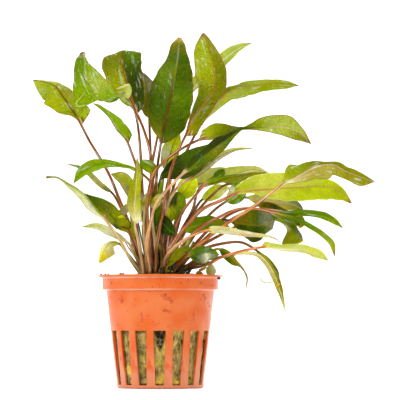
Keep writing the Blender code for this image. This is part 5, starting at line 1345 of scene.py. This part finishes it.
# %% Crown
bark_mat, tree, shader = new_material("wet rootstock", Roughness=0.45, Coat_Weight=0.2, Coat_Roughness=0.2)
clouds = noise(tree, object_place(tree), 2 * MM, 4.0)
feed(tree, shader, Base_Color=two_tones(tree, clouds, 0.4, 0.65, "#141806", "#4E4A1C"))


def crown_points(dice):
    """A ball of rows and columns, squeezed to the crown's half sizes and roughened along its radius."""
    rise = np.linspace(-np.pi / 2 + 0.05, np.pi / 2 - 0.05, 40)
    turn = np.linspace(0, 2 * np.pi, 96, endpoint=False)
    ball = round_axis(np.cos(rise)[:, None], turn, np.sin(rise)[:, None])
    points = CROWN_MIDDLE + ball * CROWN_HALF
    rough = ripples(points, (0.5 * MM, 0.3 * MM), dice)
    return points + ball * rough[..., None]


crown_dice = np.random.default_rng(19)
crown_grid = crown_points(crown_dice)
crown = new_piece("crown_knot", crown_grid, tube_faces(*crown_grid.shape[:2]), bark_mat)
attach(crown, "root")
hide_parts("crown")


def old_feet(count, dice):
    """Short paths that leave the crown's top, lean outwards and end a few millimetres up."""
    turn = dice.uniform(0, 2 * np.pi, count)
    out = np.sqrt(dice.uniform(0.05, 0.9, count)) * np.where(np.cos(turn) < 0, 0.6, 1)
    x = CROWN_MIDDLE[0] + CROWN_HALF[0] * out * np.cos(turn)
    y = CROWN_MIDDLE[1] + CROWN_HALF[1] * out * np.sin(turn)
    z = CROWN_MIDDLE[2] + CROWN_HALF[2] * np.sqrt(1 - out**2) - 0.6 * MM
    long = dice.uniform(1.5, 5.5, count) * MM
    lean = np.stack((out * np.cos(turn), out * np.sin(turn), dice.uniform(0.5, 1.4, count)), axis=-1)
    lean += dice.normal(0, 0.25, (count, 3))
    lean /= np.linalg.norm(lean, axis=1)[:, None]
    steps = np.linspace(0, 1, 6)[None, :, None]
    start = np.stack((x, y, z), axis=-1)[:, None, :]
    path = start + lean[:, None, :] * steps * long[:, None, None]
    curl = dice.normal(0, 0.8, (count, 1, 3)) * MM
    return path + curl * steps**2


OLD_FEET = 150
foot_dice = np.random.default_rng(23)
foot_paths = old_feet(OLD_FEET, foot_dice)
foot_points, foot_faces = strands(foot_paths, foot_dice.uniform(0.2, 0.6, OLD_FEET) * MM, sides=6)
feet = new_piece("old_leaf_feet", foot_points, foot_faces, bark_mat)
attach(feet, "root")
print("old leaf feet:", OLD_FEET)

# %% Old stalks
def cut_stalks(count, dice):
    """Paths from the crown's far half that lean outwards, as long as old leaves were cut."""
    turn = dice.uniform(0.05, 0.95, count) * np.pi
    out = np.sqrt(dice.uniform(0.05, 0.7, count))
    flat_way = np.stack((np.cos(turn), np.sin(turn)), axis=-1)
    start = CROWN_MIDDLE[:2] + flat_way * out[:, None] * CROWN_HALF[:2]
    foot_high = CROWN_MIDDLE[2] + CROWN_HALF[2] * np.sqrt(1 - out**2) - MM
    long = dice.uniform(5, 17, count) * MM
    steps = np.linspace(0, 1, 10)
    away = flat_way[:, None, :] * (out * 0.4 * long)[:, None, None] * (steps**1.4)[None, :, None]
    level = start[:, None, :] + away + dice.normal(0, 0.6 * MM, (count, 1, 2)) * (steps**2)[None, :, None]
    high = foot_high[:, None] + long[:, None] * steps * 0.93
    return np.concatenate((level, high[..., None]), axis=-1)


# Stalks that can be told apart low in the clump: (across, up, depth) in mm from foot to end, radius, tones.
OLD_STALKS = (
    ((-5.7, 51, -6), (-7.2, 59.8, -7), (-8.7, 67.4, -7.6), (-9.9, 73.2, -8), 0.42, "bark olive leaf"),
    ((-5, 51, -4.6), (-6.1, 57.8, -5.2), (-7.6, 65.4, -5.6), (-8.2, 72.3, -5.8), 0.38, "rust tan rose"),
    ((-8.7, 51.6, -5), (-11.5, 59.7, -6.4), (-13, 65.8, -7), (-13.4, 68.4, -7), 0.5, "copper rose tan"),
    ((-9.6, 51.6, -3), (-11, 57.4, -5.4), (-13.8, 61.6, -6.6), (-15.9, 65.1, -7), 0.28, "rust copper brown"),
    ((2.6, 52, -7.2), (2.9, 59, -7.6), (3.2, 63.5, -7.8), (3.5, 67.4, -8), 0.42, "copper tan rose"),
    ((1, 52, -7.8), (1.6, 60.4, -8.2), (1.2, 63.5, -8.4), (0.2, 66.6, -8.6), 0.36, "bark rust copper"),
    ((0, 51.6, -8), (0.4, 57.8, -8.6), (0, 61, -8.8), (-0.4, 64, -9), 0.36, "olive brown_olive olive"),
    ((5.4, 52.2, -6.6), (6.2, 55.5, -7.2), (8.1, 57.4, -8), (9.9, 59.2, -8.6), 0.4, "bark tan copper"),
    ((6.6, 51.8, -5), (8.3, 54.2, -6.4), (10.8, 56.7, -7.6), (13, 58.3, -8.4), 0.5, "copper straw tan"),
    ((8, 51.2, -3), (12, 53, -5.4), (17.3, 54.7, -8), (22, 57.4, -11), 0.36, "dark_brown bark rust"),
)
CUT_STALKS = 40
CUT_TONES = (
    "dark_brown bark brown_olive", "bark brown copper", "dark_brown rust tan", "bark brown_olive olive",
)
dry_stalk, tree, shader = new_material("old leaf stalk", Roughness=0.45, Specular_IOR_Level=0.2)
streaks = noise(tree, stretched(tree, object_place(tree), (1.0, 1.0, 0.08)), 0.4 * MM)
stalk_tint = carried(tree, "tint")
stalk_dark = blend(tree, 1.0, stalk_tint, linear("#8C7C6C"), "MULTIPLY")
feed(tree, shader, Base_Color=blend(tree, step(tree, streaks, 0.44, 0.58), stalk_tint, stalk_dark))


def old_stalks():
    """Every cut and named stalk as one mesh: tubes round their paths, with a tone that runs along each."""
    dice = np.random.default_rng(31)
    t = np.linspace(0, 1, 10)
    paths = [*cut_stalks(CUT_STALKS, dice)]
    radii = [*dice.uniform(0.25, 0.5, CUT_STALKS) * MM]
    tints = [mixed(CUT_TONES[dice.integers(len(CUT_TONES))], t) for _ in range(CUT_STALKS)]
    for *route, radius, tones in OLD_STALKS:
        knots, at_knots = through(np.array([in_space(point) for point in route]))
        paths.append(at_knots(knots[-1] * t))
        radii.append(radius * MM)
        tints.append(mixed(tones, t))
    points, faces = strands(np.array(paths), np.array(radii), sides=8, even=True)
    return points, faces, even_tint(tints, points.shape[:3])


cut_points, cut_faces, cut_tint = old_stalks()
cut_piece = new_piece("cut_stalks", cut_points, cut_faces, dry_stalk, colours={"tint": cut_tint})
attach(cut_piece, "root")
print("old stalks:", len(cut_points))

# %% [markdown]
# ## Folds, scraps and crumbs
# A plant lifted from its tank carries torn and curled bits. Each is a narrow strip that bows across
# its width, laid along a few points read where it shows, on the leaf, stalk or wool that carries it.
# Two of them, green_pair and dark_pair, are long and run up between the stalks like young shoots.


# %% Scraps
SCRAP_COLUMNS = np.array((-1.0, -0.8, -0.5, -0.2, 0.0, 0.2, 0.5, 0.8, 1.0))
SCRAP_ROWS = 22
SCRAP_THICK = 0.14 * MM
SCRAP_VEINS = 0.4
SCRAP_RIM = (9, 0.1, 0)


def scrap(name, points, wide, tones, bow, slot):
    """A strip along points, wide mm across, bowed through bow degrees: an arc swept along its route."""
    knots, at = through(np.array([in_space(point) for point in points]))
    t = np.linspace(0, 1, SCRAP_ROWS)
    centre, spread, face = frames(at, knots[-1] * t, None)
    half = wide / 2 * MM * np.sqrt(np.sin(np.pi * (0.12 + 0.8 * t)))
    angle = np.radians(bow) / 2
    sideways = np.sin(SCRAP_COLUMNS * angle) / angle
    rise = (1 - np.cos(SCRAP_COLUMNS * angle)) / angle
    middle = centre[:, None] + spread[:, None] * (half[:, None] * sideways)[..., None]
    middle = middle + face[:, None] * (half[:, None] * rise)[..., None]
    lens = SCRAP_THICK * np.sqrt(1.02 - SCRAP_COLUMNS**2)[None, :, None] * face[:, None]
    rings = np.concatenate((middle + lens, (middle - lens)[:, -2:0:-1]), axis=1)
    shape = rings.shape[:2]
    tint = even_tint(mixed(tones, t), shape)
    along = knots[-1] * t[:, None] / MM
    lay = np.stack(np.broadcast_arrays(np.linspace(-2, 2, shape[1]), along, SCRAP_VEINS), axis=-1)
    rim = np.broadcast_to(np.array(SCRAP_RIM), (*shape, 3)).copy()
    colours = {"tint": tint, "rib_tint": tint, "edge_tint": tint}
    marks = {"lay": lay, "rim": rim}
    piece = new_piece(name, rings, tube_faces(*shape), TISSUES[slot], colours=colours, vectors=marks)
    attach(piece, "root")


# Each scrap: its points, then its width in mm, its tones, the degrees it bows through, and its slot.
SCRAPS = {
    "curled_flap_edge": (
        [(-19.5, 133.1, -12.6), (-17, 133.8, -13), (-14.2, 134.9, -12.4)],
        1, "milk cream cream", 60, "leaf_pale",
    ),
    "curled_flap": (
        [(-15.2, 135.1, -12), (-14.7, 132.2, -12.8), (-15.3, 128.9, -11.8)],
        4, "cream mint pale mint", 70, "leaf_pale",
    ),
    "curled_flap_foot": (
        [(-22.8, 129.6, -16.5), (-19.3, 130.6, -14), (-16.2, 132, -12.6)],
        1.6, "fresh mint pale", 60, "leaf_bright",
    ),
    "green_scallop": (
        [(-25.5, 128.4, -21.4), (-23, 128, -20.2), (-20.8, 128.5, -18.6), (-18.6, 129.7, -16)],
        2.7, "fresh fresh grass fresh", 40, "leaf_bright",
    ),
    "green_scallop_right": (
        [(-18.25, 129.85, -9.3), (-16.45, 128.05, -9.3), (-14.95, 126.75, -8.8), (-13.15, 125.55, -8.3)],
        2.6, "fresh lime_shade fresh", 40, "leaf_bright",
    ),
    "curled_tip": (
        [(-36.1, 147.1, -18.8), (-35.5, 148.7, -19.4), (-34.1, 149.2, -19.2), (-33.5, 148, -18.6)],
        1.2, "grey_green bronze milk", 100, "leaf_pale",
    ),
    "folded_corner": (
        [(-33.9, 131.3, -25.6), (-35.5, 129.2, -25.8), (-37.4, 127.1, -25.6), (-37.7, 125.6, -25.4),
            (-35.7, 125.3, -25.3), (-31.7, 126.5, -24.8)],
        0.6, "mint pale mint pale mint fresh", 50, "leaf_bright",
    ),
    "beige_crumple": (
        [(-18.4, 76.5, -9.8), (-16.2, 78.6, -10.6), (-13.5, 81.4, -9.5)],
        4, "dry_olive ash dry_olive", 90, "leaf_olive",
    ),
    "green_shoot": (
        [(-13.1, 76.3, -6.5), (-12.2, 72.7, -6.6), (-11.9, 68.7, -6.6), (-12.5, 64.5, -6.9)],
        2, "brown_olive spring spring brown_olive", 50, "leaf_bright",
    ),
    "dark_fold": (
        [(-20.35, 71.2, -12), (-18.45, 73.1, -12.5), (-15.75, 73.2, -12), (-13.75, 70.7, -10.6)],
        3.6, "night moss olive deep", 70, "leaf_olive",
    ),
    "lime_patch": (
        [(-19.05, 75.5, -12.3), (-17.35, 75.9, -12.3), (-15.55, 74.9, -11.3)],
        1.6, "spring lime spring", 40, "leaf_lime",
    ),
    "green_sliver": (
        [(11, 62.1, -12), (12.1, 64.3, -9.5), (13.4, 67, -7.2)],
        1.7, "grass lime_shade fresh", 50, "leaf_bright",
    ),
    "green_pair": (
        [(-0.4, 51.4, -3.2), (-1.2, 65.6, -6.6), (-1.1, 81.2, -7.2), (-0.4, 86.5, -7.4),
            (0.7, 91.8, -7.2)],
        2.2, "bark night night leaf grass fresh", 40, "leaf_bright",
    ),
    "dark_pair": (
        [(-1.4, 51.4, -2.6), (-2.2, 65.6, -5.2), (-2.4, 81.2, -5.8), (-2, 87.8, -5.8),
            (-1.6, 94.5, -5.4)],
        1.6, "bark bark leaf grass leaf", 40, "leaf_dark",
    ),
    "olive_flap": (
        [(61.2, 76.6, -14.15), (62.9, 74.8, -14.35), (63.2, 72.8, -14.55), (61.7, 71.1, -14.95)],
        2.4, "moss brown_olive olive", 80, "leaf_olive",
    ),
    "yellow_strand": (
        [(0.3, 53, -9.6), (1.6, 52.1, -10), (3.8, 51.9, -10.2), (6, 51.4, -9.8)],
        0.8, "gold olive gold", 120, "leaf_yellow",
    ),
    "dead_bit_left": (
        [(15.95, 49.85, 5.55), (16.95, 51.05, 4.95), (18.95, 50.05, 5.35)],
        2, "gold gold orange gold", 80, "leaf_yellow",
    ),
    "dead_bit_right": (
        [(17.15, 52.1, 6.45), (18.95, 52.7, 6.05), (20.55, 53.6, 6.45)],
        1.5, "gold orange gold gold", 80, "leaf_yellow",
    ),
    "hair_root": (
        [(44, 48.9, -17.35), (45.3, 47.3, -18.15), (47.3, 46.5, -18.95), (49.1, 46.8, -19.75),
            (50.7, 47.9, -20.35)],
        0.6, "olive dry_olive brown_olive", 120, "leaf_olive",
    ),
    "rot_spot": (
        [(51.55, 44.5, -21.8), (52.05, 45.5, -22.4), (53.05, 46.1, -22.2)],
        1, "orange gold", 80, "leaf_yellow",
    ),
}
for name, (points, wide, tones, bow, slot) in SCRAPS.items():
    scrap(name, points, wide, tones, bow, slot)
print("scraps:", len(SCRAPS))

# %% Crumbs on the rim
LIP = 26.6 * MM
LIP_TOP = 50.0 * MM
CRUMBS = ((-27.4, 1.4), (-26.6, 2.2), (-24.0, 1.8), (-22.6, 0.8), (-17.0, 1.6), (-15.8, 0.9))


def crumb_paths(dice):
    """Short crooked paths on the lip: the angle comes from each crumb's place across, on the near side."""
    across = np.array([x for x, _ in CRUMBS]) * MM
    long = np.array([size for _, size in CRUMBS]) * MM
    turn = -np.arccos(np.clip(across / LIP, -0.98, 0.98))
    steps = np.linspace(-0.5, 0.5, 7)
    angle = turn[:, None] + steps * long[:, None] / LIP
    high = LIP_TOP + (0.12 + 0.1 * np.sin(steps * 9 + dice.uniform(0, 6, len(across))[:, None])) * MM
    return round_axis(LIP, angle, high)


crumb_dice = np.random.default_rng(37)
crumb_lines = crumb_paths(crumb_dice)
crumb_points, crumb_faces = strands(crumb_lines, crumb_dice.uniform(0.3, 0.5, len(CRUMBS)) * MM, sides=6)
crumb_tint = even_tint(TONE["brown"], crumb_points.shape[:3])
crumbs = new_piece("rim_crumbs", crumb_points, crumb_faces, dry_stalk, colours={"tint": crumb_tint})
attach(crumbs, "root")
SPECK_PATH = ((25.2, -8.6, 48.55), (25.8, -7.9, 48.45), (26.2, -7.0, 48.4), (26.4, -6.0, 48.55))
speck_points, speck_faces = strands(np.array([SPECK_PATH]) * MM, np.array((0.6,)) * MM, sides=8)
speck_tint = even_tint(TONE["dark_brown"], speck_points.shape[:3])
rim_speck = new_piece("rim_speck", speck_points, speck_faces, dry_stalk, colours={"tint": speck_tint})
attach(rim_speck, "root")
print("crumbs:", len(CRUMBS))

# %% [markdown]
# ## Water drops
# Drops cling to the wall because plastic repels water. Each one is a low dome, taller than wide where
# it has begun to run. Clear water over orange plastic reads as a deeper orange with a hard white glint,
# so the drops take that colour and a sharp coat instead of real glass.

# %% Drops
DROP_ROWS = 6
DROP_SIDES = 12
SMALL_DROPS = 130
DOME_HIGH = 0.45
DROP_SUNK = 0.03 * MM
# The first row of POT_PROFILE on the wall, mm a pixel, and the axis's column and the floor's row.
WALL_START = 8
PIXEL = 0.444
AXIS_PIXEL = 160.4
FLOOR_PIXEL = 387.8
# Drops that can be told apart: the picture's column and row, half the width and half the height in mm.
BIG_DROPS = (
    (122, 301, 1.5, 1.3), (166, 297, 0.9, 1.6), (169, 299.5, 1.2, 0.8), (172, 302, 0.8, 0.9),
    (166, 311, 1.3, 0.7), (170, 312, 0.8, 0.6), (204, 296, 0.9, 0.9), (205, 300, 0.7, 1.5),
    (143, 317, 0.6, 2.2), (194, 316, 0.5, 2.4), (199, 312, 0.5, 1.8), (112, 284, 1.0, 0.8),
    (181, 284, 0.6, 0.6), (189, 281, 0.7, 0.6), (201, 284, 0.9, 0.9), (121.4, 358, 0.5, 1.2),
)


def drop_domes(dice):
    """Low domes on the wall. The rings of each shrink as a cosine and rise as a sine.

    A dome stands about DOME_HIGH times the smaller of its half width and half height off the wall.
    """
    big = np.array(BIG_DROPS)
    across, high = (big[:, 0] - AXIS_PIXEL) * PIXEL * MM, (FLOOR_PIXEL - big[:, 1]) * PIXEL * MM
    high = np.concatenate((high, dice.uniform(26.5, 48, SMALL_DROPS) * MM))
    wall_radius, wall_height = POT_PROFILE[WALL_START:].T
    wall = np.interp(high, wall_height, wall_radius)
    turn = -np.arccos(np.clip(across / wall[: len(big)], -0.99, 0.99))
    turn = np.concatenate((turn, dice.uniform(-np.pi, np.pi, SMALL_DROPS)))
    wide = np.concatenate((big[:, 2], dice.uniform(0.16, 0.45, SMALL_DROPS))) * MM
    tall = np.concatenate((big[:, 3], dice.uniform(0.2, 0.6, SMALL_DROPS))) * MM
    lift = np.linspace(0, np.pi / 2 - 0.12, DROP_ROWS)[None, :, None]
    angle = np.linspace(0, 2 * np.pi, DROP_SIDES, endpoint=False)[None, None, :]
    side = np.cos(lift) * np.cos(angle) * wide[:, None, None]
    up = np.cos(lift) * np.sin(angle) * tall[:, None, None]
    out = np.sin(lift) * DOME_HIGH * np.minimum(wide, tall)[:, None, None] - DROP_SUNK
    z = high[:, None, None] + up
    radius = np.interp(z, wall_height, wall_radius) + out
    return round_axis(radius, turn[:, None, None] + side / wall[:, None, None], z)


water, tree, shader = new_material(
    "clinging water",
    Roughness=0.25, Specular_IOR_Level=0.1, Coat_Weight=0.8, Coat_Roughness=0.04, Coat_IOR=1.45,
)
clouds = noise(tree, object_place(tree), 0.9 * MM)
feed(tree, shader, Base_Color=two_tones(tree, clouds, 0.4, 0.6, "#A63C00", "#BC5008"))
drops = drop_domes(np.random.default_rng(41))
drop_faces = tube_faces(DROP_ROWS, DROP_SIDES, len(drops))
drops_piece = new_piece("pot_drops", drops, drop_faces, water)
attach(drops_piece, "root")
print("drops:", len(drops))
